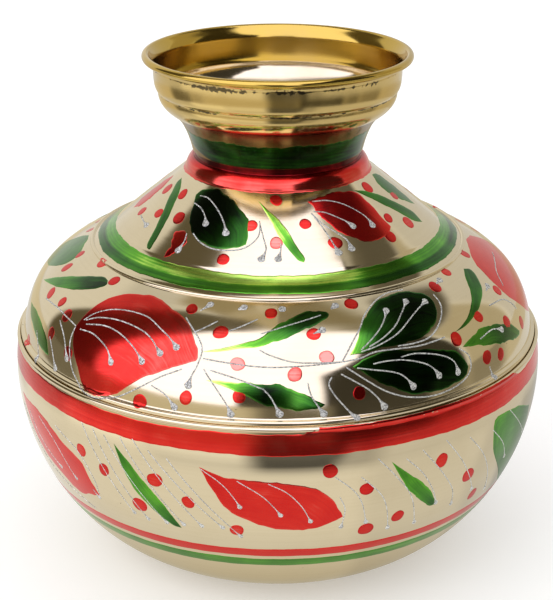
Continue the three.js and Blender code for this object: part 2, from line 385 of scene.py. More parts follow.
around, given, result = new_group(
    "round the pot", [("Turns", "NodeSocketFloat", 1.0), ("Across", "NodeSocketFloat", 1.0)],
    [("Place", "NodeSocketVector")])
pattern_uv = node(around, "ShaderNodeUVMap", uv_map="pattern").outputs[0]
split = node(around, "ShaderNodeSeparateXYZ", {0: pattern_uv}).outputs
angle = maths(around, "MULTIPLY", split[0], FULL_TURN)
place_x = maths(around, "MULTIPLY", maths(around, "SINE", angle), given["Turns"])
place_y = maths(around, "MULTIPLY", maths(around, "COSINE", angle), given["Turns"])
place_z = maths(around, "MULTIPLY", split[1], given["Across"])
place = node(around, "ShaderNodeCombineXYZ", {0: place_x, 1: place_y, 2: place_z}).outputs[0]
around.links.new(place, result["Place"])

spinning, given, result = new_group(
    "spinning marks", [("Fine", "NodeSocketFloat", 90.0), ("Coarse", "NodeSocketFloat", 16.0)],
    [("Height", "NodeSocketFloat"), ("Streak", "NodeSocketFloat")])
fine_place = use(spinning, around, {"Turns": 1.5, "Across": given["Fine"]}).outputs[0]
coarse_place = use(spinning, around, {"Turns": 0.8, "Across": given["Coarse"]}).outputs[0]
fine = noise(spinning, fine_place, 1.0, 3.0)
coarse = noise(spinning, coarse_place, 1.0, 1.0)
height = maths(spinning, "ADD", maths(spinning, "MULTIPLY", fine, 0.12), coarse)
spinning.links.new(height, result["Height"])
spinning.links.new(fine, result["Streak"])

handling, given, result = new_group(
    "handling", [("Specks", "NodeSocketFloat", 1.0)],
    [("Speck", "NodeSocketFloat"), ("Stain", "NodeSocketFloat")])
here = object_place(handling)
cells = node(handling, "ShaderNodeTexVoronoi", {"Vector": here, "Scale": 210.0})
clusters = noise(handling, here, 34.0, 3.0)
ragged = noise(handling, here, 900.0, 2.0)
size = maths(handling, "MULTIPLY", ramp(handling, clusters, 0.6, 0.75), 0.28)
near = maths(handling, "ADD", cells.outputs["Distance"], maths(handling, "MULTIPLY", ragged, 0.25))
speck = maths(handling, "MULTIPLY", maths(handling, "LESS_THAN", near, size), given["Specks"])
handling.links.new(speck, result["Speck"])
stain = noise(handling, here, 22.0, 5.0, roughness=0.6)
handling.links.new(ramp(handling, stain, 0.45, 0.75), result["Stain"])
print("groups", [g.name for g in bpy.data.node_groups])

# %% [markdown]
# ## Brass
#
# Brass is copper and zinc. The body is a pale alloy, the neck a yellower one, browned on
# its bare throat. Outside, dark bands under the lip and along the two creases are painted
# shade. Inside, a pale ledge, a darker gold band and a brighter gold flare are painted
# light and shade that stand in for the neck's reflections. All are plain metal in the shader.
# What makes them read as spun and polished is a slight waviness that runs round the pot,
# so reflections break into streaks, and a roughness that changes with the stains.

# %% Brass
PALE_BRASS = (0.75, 0.645, 0.445, 1)
YELLOW_BRASS = (0.68, 0.505, 0.2, 1)
BROWN_BRASS = (0.22, 0.14, 0.045, 1)
# Painted light and shade inside the neck: a darker gold for the band and a brighter gold for the flare.
SHADED_GOLD = (0.42, 0.265, 0.035, 1)
LIT_GOLD = (0.58, 0.395, 0.08, 1)
TARNISH = (0.42, 0.31, 0.14, 1)
SOOT_AND_SHADE = (0.03, 0.025, 0.02, 1)
SOFT_EDGE = 0.6


def new_material(name):
    """A material with its tree and its own Principled shader."""
    material = bpy.data.materials.new(name)
    material.use_nodes = True
    tree = material.node_tree
    shader = tree.nodes["Principled BSDF"]
    return material, tree, shader


def brushed(tree, shader, amount):
    """Spinning marks run round the pot, so the shine spreads across them, up and down."""
    across = node(tree, "ShaderNodeTangent", direction_type="RADIAL", axis="Z").outputs[0]
    tree.links.new(across, shader.inputs["Tangent"])
    shader.inputs["Anisotropic"].default_value = amount
    shader.inputs["Anisotropic Rotation"].default_value = 0.25


def level_of(tree):
    """Height above the base, in metres."""
    return node(tree, "ShaderNodeSeparateXYZ", {0: object_place(tree)}).outputs[2]


def shade_band(tree, height, reach):
    """Ragged painted shade along a level: 1 minus the distance from it, as a share of the reach,
    and broken up by two noises."""
    away = maths(tree, "ABSOLUTE", maths(tree, "SUBTRACT", level_of(tree), height * MM))
    near = maths(tree, "SUBTRACT", 1.0, maths(tree, "DIVIDE", away, reach * MM), clamp=True)
    here = object_place(tree)
    broken = maths(tree, "ADD", noise(tree, here, 520.0, 5.0), noise(tree, here, 45.0, 2.0))
    return ramp(tree, maths(tree, "MULTIPLY", near, broken), 0.9, 1.02, 0.0, 0.85)


def brass(name, colour, polish, wave, specks, tarnish, shaded_levels=(), upper=()):
    """Polished sheet. polish is the roughness, wave the depth of the spinning marks in
    metres, tarnish the share of dull metal in the stains. The levels given for painted shade,
    each with its reach, darken the metal along ragged bands. Above each height in upper the
    metal has that entry's colour and polish. Heights and reaches are in millimetres."""
    material, tree, shader = new_material(name)
    for height, tone, roughness in upper:
        above = ramp(tree, level_of(tree), (height - SOFT_EDGE) * MM, (height + SOFT_EDGE) * MM)
        below = maths(tree, "SUBTRACT", 1.0, above)
        colour = blend(tree, above, colour, tone)
        polish = maths(tree, "MULTIPLY_ADD", above, roughness, maths(tree, "MULTIPLY", below, polish))
    marks = use(tree, spinning).outputs
    wear = use(tree, handling, {"Specks": specks}).outputs
    dulled = blend(tree, maths(tree, "MULTIPLY", wear["Stain"], tarnish), colour, TARNISH)
    streaked = blend(tree, ramp(tree, marks["Streak"], 0.3, 0.8, 0.0, 0.06), dulled, TARNISH)
    spotted_and_shaded = blend(tree, wear["Speck"], streaked, SOOT_AND_SHADE)
    # Painted shade: the metal darkens to soot along a ragged band at each shaded level.
    for height, reach in shaded_levels:
        spotted_and_shaded = blend(tree, shade_band(tree, height, reach), spotted_and_shaded, SOOT_AND_SHADE)
    rough = maths(tree, "ADD", polish, maths(tree, "MULTIPLY", wear["Stain"], 0.06))
    rough = maths(tree, "ADD", rough, maths(tree, "MULTIPLY", wear["Speck"], 0.4))
    dress(tree, shader, spotted_and_shaded, rough, bump(tree, marks["Height"], wave))
    brushed(tree, shader, 0.85)
    return material


CREASE_HEIGHT = FOOT_HEIGHT + THROAT_RISE
RING_TOP = CREASE_HEIGHT + RING_RISE
LIP_UNDER = RING_TOP + CREASE_RISE + BAND_RISE
body_brass = brass("pale brass", PALE_BRASS, polish=0.075, wave=0.00003, specks=1.0, tarnish=0.12)
# Painted shade: dark bands under the lip and along the neck's two creases.
neck_brass = brass("yellow brass", BROWN_BRASS, polish=0.24, wave=0.00005, specks=0.8, tarnish=0.25,
                   shaded_levels=[(LIP_UNDER, 6.0), (RING_TOP, 2.5), (CREASE_HEIGHT, 2.0)],
                   upper=[(CREASE_HEIGHT, YELLOW_BRASS, 0.11)])
# Painted reflection inside the neck: pale brass at the ledge, darker gold up the band, brighter gold in the
# flare and lip.
neck_inside = brass("neck inside", PALE_BRASS, polish=0.13, wave=0.00006, specks=0.5, tarnish=0.3,
                    upper=[(RING_TOP, SHADED_GOLD, 0.2), (LIP_UNDER, LIT_GOLD, 0.13)])
inner_brass = brass("inner brass", YELLOW_BRASS, polish=0.22, wave=0.00008, specks=0.4, tarnish=0.5)
print("metals", [metal.name for metal in (body_brass, neck_brass, neck_inside, inner_brass)])

# %% [markdown]
# ## The sheet pieces
#
# A closed outline, outer face up and inner face down, is carried once round the axis. The
# pattern coordinates are the share of the turn and the distance along the outline.

# %% Spun pieces
FLATS = 256
BLOCK = 20000


def spun(name, outer, inner, material, inside, weld=False):
    """The outline carried round the axis: a row for each of its points, a column for each
    angle of the turn. An outline that ends on the axis is left open there and welded."""
    outline = np.concatenate([outer, inner[::-1]])
    turn = np.linspace(0, FULL_TURN, FLATS, endpoint=False)
    points = round_axis(outline[:, :1], turn, outline[:, 1:])
    run = run_along(np.vstack([outline, outline[:1]]))
    pattern = np.stack(np.broadcast_arrays(np.linspace(0, 1, FLATS + 1), run[:, None] / RUN_SCALE), 2)
    grid = {"points": points, "pattern": pattern, "rows": not weld, "columns": True}
    piece = make_mesh(name, [grid], material, weld)
    piece.data.materials.append(inside)
    return piece


def inside_of(piece, line):
    """Gives the inner brass to the faces whose middle lies more than half the sheet from
    every stretch of the outer face's line. Faces are taken a block at a time."""
    centre = np.empty(len(piece.data.polygons) * 3)
    piece.data.polygons.foreach_get("center", centre)
    centre = centre.reshape(-1, 3) / MM
    middle = np.stack([np.hypot(centre[:, 0], centre[:, 1]), centre[:, 2]], 1)
    chosen = np.zeros(len(middle), np.int32)
    for first in range(0, len(middle), BLOCK):
        part = middle[first:first + BLOCK]
        nearest = np.full(len(part), np.inf)
        for start, end in zip(line[:-1], line[1:]):
            along = end - start
            share = np.clip((part - start) @ along / (along @ along), 0, 1)
            nearest = np.minimum(nearest, np.linalg.norm(part - start - share[:, None] * along, axis=1))
        chosen[first:first + BLOCK] = nearest > SHEET / 2
    piece.data.polygons.foreach_set("material_index", chosen)


bowl_line = chain(at(0, 0), FACES["bowl"])
bowl_inner = chain(at(0, SHEET), inner_face(FACES["bowl"], SHEET)[1:],
                   at(BELLY_RADIUS - TUCK_IN - SHEET, SEAM_HEIGHT))
bowl = spun("bowl_sheet", bowl_line, bowl_inner, body_brass, inner_brass, weld=True)
inside_of(bowl, bowl_line)
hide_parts("lower_bowl")

shell_inner = inner_face(FACES["shell"], SHEET)
shell = spun("shell_sheet", FACES["shell"], shell_inner, body_brass, inner_brass)
inside_of(shell, FACES["shell"])
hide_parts("upper_shell")

neck_inner = inner_face(FACES["neck"], SHEET)
neck = spun("neck_sheet", FACES["neck"], neck_inner, neck_brass, neck_inside)
inside_of(neck, FACES["neck"])
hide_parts("neck")

# %% [markdown]
# ## Wire and braze
#
# The lip is rolled round an iron wire, and braze holds the two laps. They hardly show, so
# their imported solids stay, and only get a finish: rough grey iron, and a grainy,
# coppery braze.

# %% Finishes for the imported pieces
def rough_metal(name, colour, dark, roughness, grain, depth):
    """Uneven metal: a noise of the given grain changes colour, roughness and surface."""
    material, tree, shader = new_material(name)
    grains = noise(tree, object_place(tree), grain, 6.0)
    dress(tree, shader, blend(tree, ramp(tree, grains, 0.35, 0.7), colour, dark),
          ramp(tree, grains, 0.3, 0.8, roughness - 0.1, roughness + 0.15), bump(tree, grains, depth))
    return material


def finish_node(name, material):
    """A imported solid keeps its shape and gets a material."""
    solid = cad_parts[name]
    solid.data.materials.clear()
    solid.data.materials.append(material)
    print(name, "finished with", material.name)


iron = rough_metal("iron wire", (0.16, 0.15, 0.14, 1), (0.2, 0.1, 0.05, 1), 0.5, 1500.0, 0.00005)
braze = rough_metal("braze", (0.42, 0.25, 0.09, 1), (0.12, 0.07, 0.03, 1), 0.5, 700.0, 0.00012)
finish_node("lip_wire", iron)
finish_node("belly_seam_braze", braze)
finish_node("neck_seam_braze", braze)

# %% [markdown]
# ## Camera
#
# The photograph's camera was found from the rims and the seam, whose ellipses fix its
# height, its distance and its lens. It comes before the paint, because the places of the
# painted motifs are kept as the photograph shows them, in its pixels.

# %% Camera and view
PHOTO_WIDTH, PHOTO_HEIGHT = 553, 600
CAMERA_DISTANCE, CAMERA_HEIGHT = 722.0, 398.0
CAMERA_DOWN = np.radians(21.205)
LENS, SENSOR, SHIFT = 96.4, 36.0, -0.002

camera_data = bpy.data.cameras.new("camera")
camera_data.lens, camera_data.sensor_width, camera_data.shift_x = LENS, SENSOR, SHIFT
camera = bpy.data.objects.new("camera", camera_data)
bpy.context.scene.collection.objects.link(camera)
camera.location = (0, -CAMERA_DISTANCE * MM, CAMERA_HEIGHT * MM)
camera.rotation_euler = (np.pi / 2 - CAMERA_DOWN, 0, 0)
bpy.context.scene.camera = camera
bpy.context.scene.view_settings.view_transform = "Standard"
print("camera with a lens of", LENS, "mm,", CAMERA_HEIGHT, "mm up")

# %% [markdown]
# ## Places on the metal
#
# A painter thinks of a place as an angle round the pot and a distance up its side. The
# angle is 0 at the front and grows to the right, in degrees. The distance, the run, is
# in millimetres along the outer face from its lower edge. `sighted` finds the place behind
# a pixel, and `lay` turns places into points, lifted square off the metal.

# %% Places on a face
SIGHT_STEPS = 7000
FOCUS = LENS / SENSOR * PHOTO_HEIGHT


def sighted(face, pixels):
    """A sight line passes each level of the face once. It meets the metal where its distance
    from the axis there first equals the face's radius. A pixel just off the outline takes
    the level where the two come nearest."""
    line, pixels = FACES[face], np.array(pixels, float)
    run = np.linspace(0, run_along(line)[-1], SIGHT_STEPS)
    radius, height = (np.interp(run, run_along(line), line[:, k]) for k in (0, 1))
    right = (pixels[:, 0] - PHOTO_WIDTH / 2) / FOCUS + SHIFT * PHOTO_HEIGHT / FOCUS
    up = (PHOTO_HEIGHT / 2 - pixels[:, 1]) / FOCUS
    ahead = np.cos(CAMERA_DOWN) + up * np.sin(CAMERA_DOWN)
    climb = up * np.cos(CAMERA_DOWN) - np.sin(CAMERA_DOWN)
    reach = (height - CAMERA_HEIGHT) / climb[:, None]
    x, y = reach * right[:, None], reach * ahead[:, None] - CAMERA_DISTANCE
    gap = np.hypot(x, y) - radius
    meets = gap[:, :-1] * gap[:, 1:] <= 0
    first = np.where(meets, reach[:, :-1], np.inf).argmin(1)
    step = np.where(meets.any(1), first, gap.argmin(1))
    chosen = np.arange(len(pixels)), step
    return np.stack([np.degrees(np.arctan2(x[chosen], -y[chosen])), run[step]], 1)


def radius_at(face, run):
    """Radius of a face at a run."""
    line = FACES[face]
    return np.interp(run, run_along(line), line[:, 0])


def lay(face, angle, run, lift):
    """Radius and height of the face at the run, each moved by the lift along the face's own
    square direction, and then turned to the angle."""
    line = FACES[face]
    along, square = run_along(line), square_to(line)
    radius, height = (np.interp(run, along, line[:, k]) + lift * np.interp(run, along, square[:, k])
                      for k in (0, 1))
    return round_axis(radius, np.radians(angle), height)


def flat(face, places):
    """Places rolled out flat, in millimetres, with the face's radius at their middle."""
    radius = radius_at(face, places[:, 1].mean())
    return np.stack([np.radians(places[:, 0]) * radius, places[:, 1]], 1), radius


def smooth(places, share):
    """A smooth line through places, at shares of its length. Between two places it is a cubic
    whose slope at each of them is half the way between that place's neighbours."""
    ends = 2 * places[:1] - places[1:2], 2 * places[-1:] - places[-2:-1]
    knots, pieces = np.vstack([ends[0], places, ends[1]]), len(places) - 1
    fine = np.linspace(0, pieces, 16 * pieces + 1)
    first = np.minimum(fine.astype(int), pieces - 1)
    t = (fine - first)[:, None]
    a, b, c, d = (knots[first + k] for k in range(4))
    line = b + (c - a) * t / 2 + (2 * a - 5 * b + 4 * c - d) * t**2 / 2 + (3 * b - a - 3 * c + d) * t**3 / 2
    along = run_along(line)
    return np.stack([np.interp(share * along[-1], along, line[:, k]) for k in (0, 1)], 1)


def wobble(share, amount, waves, dice):
    """Unevenness of a hand-drawn edge: five sine waves with random starts, each weaker as it
    gets finer, over shares of the stroke."""
    order = np.arange(1, 6)
    start = dice.uniform(0, FULL_TURN, 5)
    return amount * (np.sin(FULL_TURN * waves * order * share[..., None] + start) / order).sum(-1)


print("the photograph's middle meets the shell at", sighted("shell", [(276.5, 340)]).round(1))

# %% [markdown]
# ## Lacquer
#
# The paint is a clear coloured lacquer, so the brass mirrors through it. Where it lies thin
# it is bright, lime or coral, and where the brush left it thick it is nearly black. Each
# painted piece carries its own thickness, from 0 to 1, and the shader turns that into a
# tone of coloured metal. Brush streaks and pools change the thickness a little. On the
# shoulder roll, up the spigot and on a few dots the thickness is set to paint in highlight
# and shade.

# %% Lacquer and glitter
RED_TONES = [(0.0, (0.76, 0.27, 0.21, 1)), (0.15, (0.76, 0.12, 0.09, 1)),
             (0.35, (0.72, 0.033, 0.023, 1)), (0.6, (0.6, 0.015, 0.015, 1)),
             (0.8, (0.28, 0.006, 0.009, 1)), (0.97, (0.07, 0.003, 0.005, 1))]
GREEN_TONES = [(0.0, (0.62, 0.95, 0.17, 1)), (0.16, (0.13, 0.45, 0.03, 1)),
               (0.35, (0.075, 0.28, 0.025, 1)), (0.6, (0.028, 0.14, 0.014, 1)),
               (0.9, (0.006, 0.014, 0.005, 1))]
PAINT_RELIEF = 0.000025


def lacquer(name, tones, streaks, polish):
    """Coloured metal whose tone follows the paint's thickness. Streaks follow the stroke."""
    material, tree, shader = new_material(name)
    uv = node(tree, "ShaderNodeUVMap", uv_map="pattern").outputs[0]
    stretched = node(tree, "ShaderNodeMapping", {"Vector": uv, "Scale": (5.0, 110.0, 1.0)}).outputs[0]
    brush = noise(tree, stretched, 1.0, 4.0)
    pools = noise(tree, object_place(tree), 85.0, 3.0)
    laid = node(tree, "ShaderNodeAttribute", attribute_name="thickness").outputs["Fac"]
    uneven = maths(tree, "ADD", maths(tree, "MULTIPLY", maths(tree, "SUBTRACT", brush, 0.5), streaks),
                   maths(tree, "MULTIPLY", maths(tree, "SUBTRACT", pools, 0.5), 0.4))
    thickness = maths(tree, "ADD", laid, uneven, clamp=True)
    tone = node(tree, "ShaderNodeValToRGB", {"Fac": thickness})
    stops = tone.color_ramp.elements
    stops.remove(stops[1])
    stops[0].position, stops[0].color = tones[0]
    for place, colour in tones[1:]:
        stops.new(place).color = colour
    specks = use(tree, handling, {"Specks": 0.8}).outputs
    colour = blend(tree, specks["Speck"], tone.outputs[0], SOOT_AND_SHADE)
    relief = maths(tree, "ADD", maths(tree, "MULTIPLY", brush, 0.7), maths(tree, "MULTIPLY", pools, 0.6))
    dress(tree, shader, colour, ramp(tree, brush, 0.2, 0.9, polish, polish + 0.1),
          bump(tree, relief, PAINT_RELIEF))
    shader.inputs["Coat Weight"].default_value = 0.1
    shader.inputs["Coat Roughness"].default_value = 0.05
    brushed(tree, shader, 0.6)
    return material


def glitter(name, dull, bright):
    """Silver flakes in clear paste: each cell of a Voronoi pattern is a flake with its own
    brightness, from dull to bright, and its own tilt."""
    material, tree, shader = new_material(name)
    flakes = node(tree, "ShaderNodeTexVoronoi", {"Vector": object_place(tree), "Scale": 2600.0})
    split_colour = node(tree, "ShaderNodeSeparateColor", {0: flakes.outputs["Color"]}).outputs
    colour = blend(tree, ramp(tree, split_colour[0], 0.1, 0.9), (dull, dull, dull * 0.95, 1),
                   (bright, bright, bright * 0.95, 1))
    centred = node(tree, "ShaderNodeVectorMath", {0: flakes.outputs["Color"], 1: (0.5, 0.5, 0.5)},
                   operation="SUBTRACT").outputs[0]
    tilt = node(tree, "ShaderNodeVectorMath", {0: centred, 3: 0.9}, operation="SCALE").outputs[0]
    facing = node(tree, "ShaderNodeNewGeometry").outputs["Normal"]
    tilted = node(tree, "ShaderNodeVectorMath", {0: facing, 1: tilt}, operation="ADD").outputs[0]
    normal = node(tree, "ShaderNodeVectorMath", {0: tilted}, operation="NORMALIZE").outputs[0]
    dress(tree, shader, colour, ramp(tree, split_colour[1], 0.0, 1.0, 0.3, 0.55), normal, metallic=0.35)
    return material


red_lacquer = lacquer("red lacquer", RED_TONES, 0.35, 0.13)
green_lacquer = lacquer("green lacquer", GREEN_TONES, 0.45, 0.13)
silver_paste = glitter("silver glitter", 0.18, 0.7)
faint_paste = glitter("faint glitter", 0.32, 0.8)
print("paints", [paint.name for paint in (red_lacquer, green_lacquer, silver_paste, faint_paste)])

# %% [markdown]
# ### Bands
#
# Bands are painted with the pot turning under the brush. Their edges wander a little, and
# each has a start and an end, which overlap at the back. The paint stands `LIFT` above the
# metal, a height it reaches `EDGE` in from its sides, where it dips `SINK` into the metal.

# %% Bands
LIFT, SINK, EDGE = 0.07, 0.03, 0.5
ROUND_STEPS = 361
BAND_START, BAND_TURN = -176.0, 364.0
OVERLAP, OVERLAP_FROM, OVERLAP_RISE = 0.05, 356, 2


def wrap(grid):
    """Repeats the first column after the last, and the last row, for faces that wrap round."""
    grid = np.concatenate([grid, grid[:, :1]], 1)
    return np.concatenate([grid, grid[-1:]], 0)


def under(height):
    """Heights over the paint, and then back under it, where the strip is closed."""
    return np.hstack([height, 0 * height - 2 * SINK])


def paint_grid(points, pattern, **more):
    """A grid of paint, whose columns close on themselves."""
    return {"points": points, "pattern": wrap(pattern), "rows": False, "columns": True, **more}


def band(face, low, high, seed, depth, ragged, columns=9, slope=None, deeper=None):
    """A strip round the pot between two runs: rows go round, and columns go up the face over
    the paint and back down under it. depth lists thicknesses from the lower edge up. The
    last degrees rise and lie over the start."""
    dice = np.random.default_rng(seed)
    share = np.linspace(0, 1, ROUND_STEPS)
    turned = BAND_TURN * share
    angle = BAND_START + turned
    lower = low + wobble(share, ragged, 9, dice) + wobble(share, ragged / 2, 60, dice)
    upper = high + wobble(share, ragged, 8, dice) + wobble(share, ragged / 2, 55, dice)
    if slope:
        lower, upper = slope(angle, lower, upper)
    up = shares(columns - 1)[:, 0]
    over = lower[:, None] + (upper - lower)[:, None] * up
    end = np.minimum(share, 1 - share) * np.radians(BAND_TURN) * radius_at(face, (low + high) / 2)
    inside = np.minimum(np.minimum(over - lower[:, None], upper[:, None] - over), end[:, None])
    top = LIFT + OVERLAP * np.clip((turned - OVERLAP_FROM) / OVERLAP_RISE, 0, 1)[:, None]
    lift = (top + SINK) * np.clip(inside / EDGE, 0, 1) ** 0.5 - SINK
    run = np.hstack([over, over[:, ::-1]])
    points = lay(face, angle[:, None] + 0 * run, run, under(lift))
    thickness = np.interp(up, np.linspace(0, 1, len(depth)), depth) + 0 * over
    if deeper:
        thickness = thickness + deeper(angle)[:, None]
    pattern = np.stack([np.broadcast_to(share[:, None] * 3, run.shape), run / RUN_SCALE], 2)
    return paint_grid(points, pattern, thickness=np.hstack([thickness, thickness[:, ::-1]]))


# %% [markdown]
# ### Dots and leaves
#
# A dot is one dab of the brush. A leaf or a stroke is known by its two sides, from its
# base to its tip. Smooth lines go through the places of each side, and the paint spans
# between them. It thins towards its edges. At the edge of the view only one side shows,
# so the other mirrors it.

# %% Dabs and leaves
DAB_STEPS, LEAF_ROWS = 28, 46
COLUMN_WIDTH, FEWEST_COLUMNS, MOST_COLUMNS = 1.1, 8, 44
THIN_WITHIN, THINNER = 1.2, 0.18


def dab(face, place, radius, depth, dice):
    """A dot: rings of a wavy circle, highest inside, and closed underneath."""
    rings = np.array([0, 0.3, 0.6, 0.8, 0.92, 1, 0.6, 0])
    lifts = np.array([1, 1, 1, 0.9, 0.6, -0.4, -1, -1]) * LIFT
    deeper = np.array([-0.05, -0.02, 0, 0.08, 0.15, 0.2, 0, 0])
    round_share = np.linspace(0, 1, DAB_STEPS, endpoint=False)
    width = radius * (1 + wobble(round_share, 0.05, 1, dice)) * dice.uniform(0.9, 1.12)
    tilt, squash = dice.uniform(0, np.pi), dice.uniform(0.85, 1.0)
    x = rings[:, None] * width * np.cos(FULL_TURN * round_share)
    y = rings[:, None] * width * squash * np.sin(FULL_TURN * round_share)
    across = x * np.cos(tilt) - y * np.sin(tilt)
    up = x * np.sin(tilt) + y * np.cos(tilt)
    turned = place[0] + np.degrees(across / radius_at(face, place[1]))
    points = lay(face, turned, place[1] + up, lifts[:, None] + 0 * up)
    pattern = np.stack([across, up], 2) / RUN_SCALE
    return paint_grid(points, pattern, thickness=depth + deeper[:, None] + 0 * up)


def over_and_under(grid):
    """The grid's columns, and then the same ones back again, for the underside."""
    return np.concatenate([grid, grid[:, ::-1]], 1)


def leaf(face, one_side, other_side, depths, dice, ragged, by):
    """Points = one side's line times (1 - across) plus the other's times across. The other
    side is given without its ends, which it shares with the first. The lift rises from the
    edge with the root of the distance to it. depths are spaced evenly from base to tip."""
    other_side = other_side and [one_side[0], *other_side, one_side[-1]]
    places, radius = flat(face, sighted(face, one_side + (other_side or one_side)))
    share = shares(LEAF_ROWS)[:, 0]
    left = smooth(places[:len(one_side)], share)
    right = smooth(places[len(one_side):], share)
    if other_side is None:
        way = (left[-1] - left[0]) / np.linalg.norm(left[-1] - left[0])
        right = 2 * (left[0] + ((left - left[0]) @ way)[:, None] * way) - left
    width = np.linalg.norm(left - right, axis=1)
    outward = (left - right) / np.maximum(width, 0.01)[:, None]
    rag = np.minimum(width / 6, 1)[:, None]
    left = left + outward * rag * wobble(share, ragged, 4, dice)[:, None]
    right = right - outward * rag * wobble(share, ragged, 4, dice)[:, None]
    across = shares(int(np.clip(width.max() / COLUMN_WIDTH, FEWEST_COLUMNS, MOST_COLUMNS)))[:, 0]
    spread = left[:, None] * (1 - across[:, None]) + right[:, None] * across[:, None]
    length = run_along((left + right) / 2)
    inside = np.minimum(np.minimum(across, 1 - across) * width[:, None],
                        np.minimum(length, length[-1] - length)[:, None])
    lift = (LIFT + SINK) * np.clip(inside / EDGE, 0, 1) ** 0.5 - SINK
    depth = np.interp(share, np.linspace(0, 1, len(depths)), depths)[:, None]
    thickness = depth - THINNER * np.clip(1 - inside / THIN_WITHIN, 0, 1)
    stroke = np.stack([np.broadcast_to(length[:, None], lift.shape), across * width[:, None]], 2)
    spread = over_and_under(spread)
    points = lay(face, by + np.degrees(spread[..., 0] / radius), spread[..., 1], under(lift))
    return paint_grid(points, over_and_under(stroke / RUN_SCALE), thickness=over_and_under(thickness))


# %% [markdown]
# ### Silver lines
#
# The paste leaves a round-backed bead on the metal, and where the maker stops squeezing
# it ends in a drop. The bead is a half round carried along a smooth path, whose width
# swells at the end.

# %% Glitter lines
LINE_HALF, LINE_HEIGHT, DROP_HALF = 0.34, 0.2, 1.75
STEP_LENGTH, FEWEST_STEPS, MOST_STEPS = 0.8, 14, 90
TAPER, TALLEST = 2.5, 1.4


def squeezed(face, pixels, drop, half, by):
    """Half width: the line's own, and near the end a circle of the drop's radius that tapers
    back into the line. The bead's back is a sine over each cut across it."""
    places, radius = flat(face, sighted(face, pixels))
    length = run_along(places)[-1] + 0.01
    share = shares(int(np.clip(length / STEP_LENGTH, FEWEST_STEPS, MOST_STEPS)))[:, 0]
    path = smooth(places, share)
    heading = np.gradient(path, share, axis=0)
    heading /= np.linalg.norm(heading, axis=1)[:, None]
    sideways = np.stack([-heading[:, 1], heading[:, 0]], 1)
    to_end = length * (1 - share)
    cap = np.sqrt(np.clip(drop**2 - (to_end - drop) ** 2, 0, None))
    taper = half + (drop - half) * np.clip(1 - (to_end - drop) / (TAPER * drop), 0, 1) ** 2
    width = np.where(to_end < drop, cap, taper) * np.clip(length * share / half, 0, 1) ** 0.5
    around_share = np.linspace(0, np.pi, 7)
    side = np.cos(around_share) * width[:, None]
    bead = LINE_HEIGHT * np.sqrt(np.clip(width / half, 0, TALLEST))
    height = np.sin(around_share) * bead[:, None] - SINK
    spread = path[:, None] + side[..., None] * sideways[:, None]
    points = lay(face, by + np.degrees(spread[..., 0] / radius), spread[..., 1], height)
    pattern = np.stack([np.broadcast_to(to_end[:, None], side.shape), side], 2) / RUN_SCALE
    return paint_grid(points, pattern)


# %% [markdown]
# ## The painted bands
#
# A green band round the shoulder roll, thick in its lower half and thin in its upper half,
# as painted shade below and painted highlight above, a red one on the collar and up the
# spigot, thick and nearly black up the spigot as painted shade under the neck's foot, a red
# one under the seam, which the brush carries over the seam's bead for part of the way, two
# lines near the base, and a green one round the throat. Each edge is given by the row where
# it crosses the middle of the photograph.

# %% Bands in place
MIDDLE = 277.5


def rows(face, low, high):
    """Runs of a face behind two rows of the photograph, on the pot's middle line."""
    return sighted(face, [(MIDDLE, low), (MIDDLE, high)])[:, 1]


def shaded_to_the_sides(angle):
    """Painted light on the roll: its paint is thinnest, so brightest, a little left of the front,
    where the soft light shows in it, and thickens, so darkens, from 24 to 54 degrees away
    from there."""
    return 0.3 * np.clip((np.abs(angle + 8) - 24) / 30, 0, 1)


def over_the_bead(angle, lower, upper):
    """The red band's upper edge climbs over the seam's bead between 5 and 60 degrees."""
    climb = np.clip((angle - 5) / 3, 0, 1) * np.clip((60 - angle) / 2, 0, 1)
    return lower, upper + climb * 3.4


def bare_at_the_left(angle, _, upper):
    """The throat band starts at the foot's edge, and between -125 and -48 degrees it leaves
    a wedge bare, up to 4.5 mm high."""
    return 0.1 + 4.5 * np.clip((-angle - 48) / 30, 0, 1) * np.clip((angle + 125) / 30, 0, 1), upper


SPIGOT_FOOT_RUN = run_along(FACES["shell"])[-2]
collar_low = rows("shell", 193.5, 190)[0]
throat_high = rows("neck", 150, 147.5)[1]
make_mesh("red_bands", [
    # Painted shade: the collar band's lacquer thickens to nearly black up the spigot, under the neck's
    # foot.
    band("shell", collar_low, SPIGOT_FOOT_RUN + 3.6, 1, (0.2, 0.25, 0.3, 0.7, 0.95, 0.98), ragged=0.15,
         columns=61),
    band("bowl", *rows("bowl", 456.5, 435), 2, (0.38, 0.38), ragged=0.2, columns=21, slope=over_the_bead),
    band("bowl", *rows("bowl", 556.5, 549.5), 3, (0.38, 0.38), ragged=0.12),
], red_lacquer)
make_mesh("green_bands", [
    # Painted highlight and shade: thin lime lacquer on the roll's upper half, thicker and darker lacquer on
    # its lower half and towards the sides.
    band("shell", *rows("shell", 294.5, 275.5), 4, (0.28, 0.3, 0.4, 0.42, 0.02, 0.0, 0.0, 0.0, 0.02),
         ragged=0.2, columns=25, deeper=shaded_to_the_sides),
    band("bowl", *rows("bowl", 565.5, 559), 5, (0.35, 0.35), ragged=0.12),
    band("neck", 0.25, throat_high, 6, (0.82, 0.82, 0.7), ragged=0.4, columns=21, slope=bare_at_the_left),
], green_lacquer)

# %% [markdown]
# ## The motifs
#
# The painter works freehand, so no formula places the leaves. Each one is given by the
# face it is on, by how thick its lacquer is from base to tip, and by its two sides as seen
# in the photograph: the first from base to tip, the second without those two ends. The
# front is as photographed, and the back repeats the same groups, turned round, without
# those at the edges of the view.

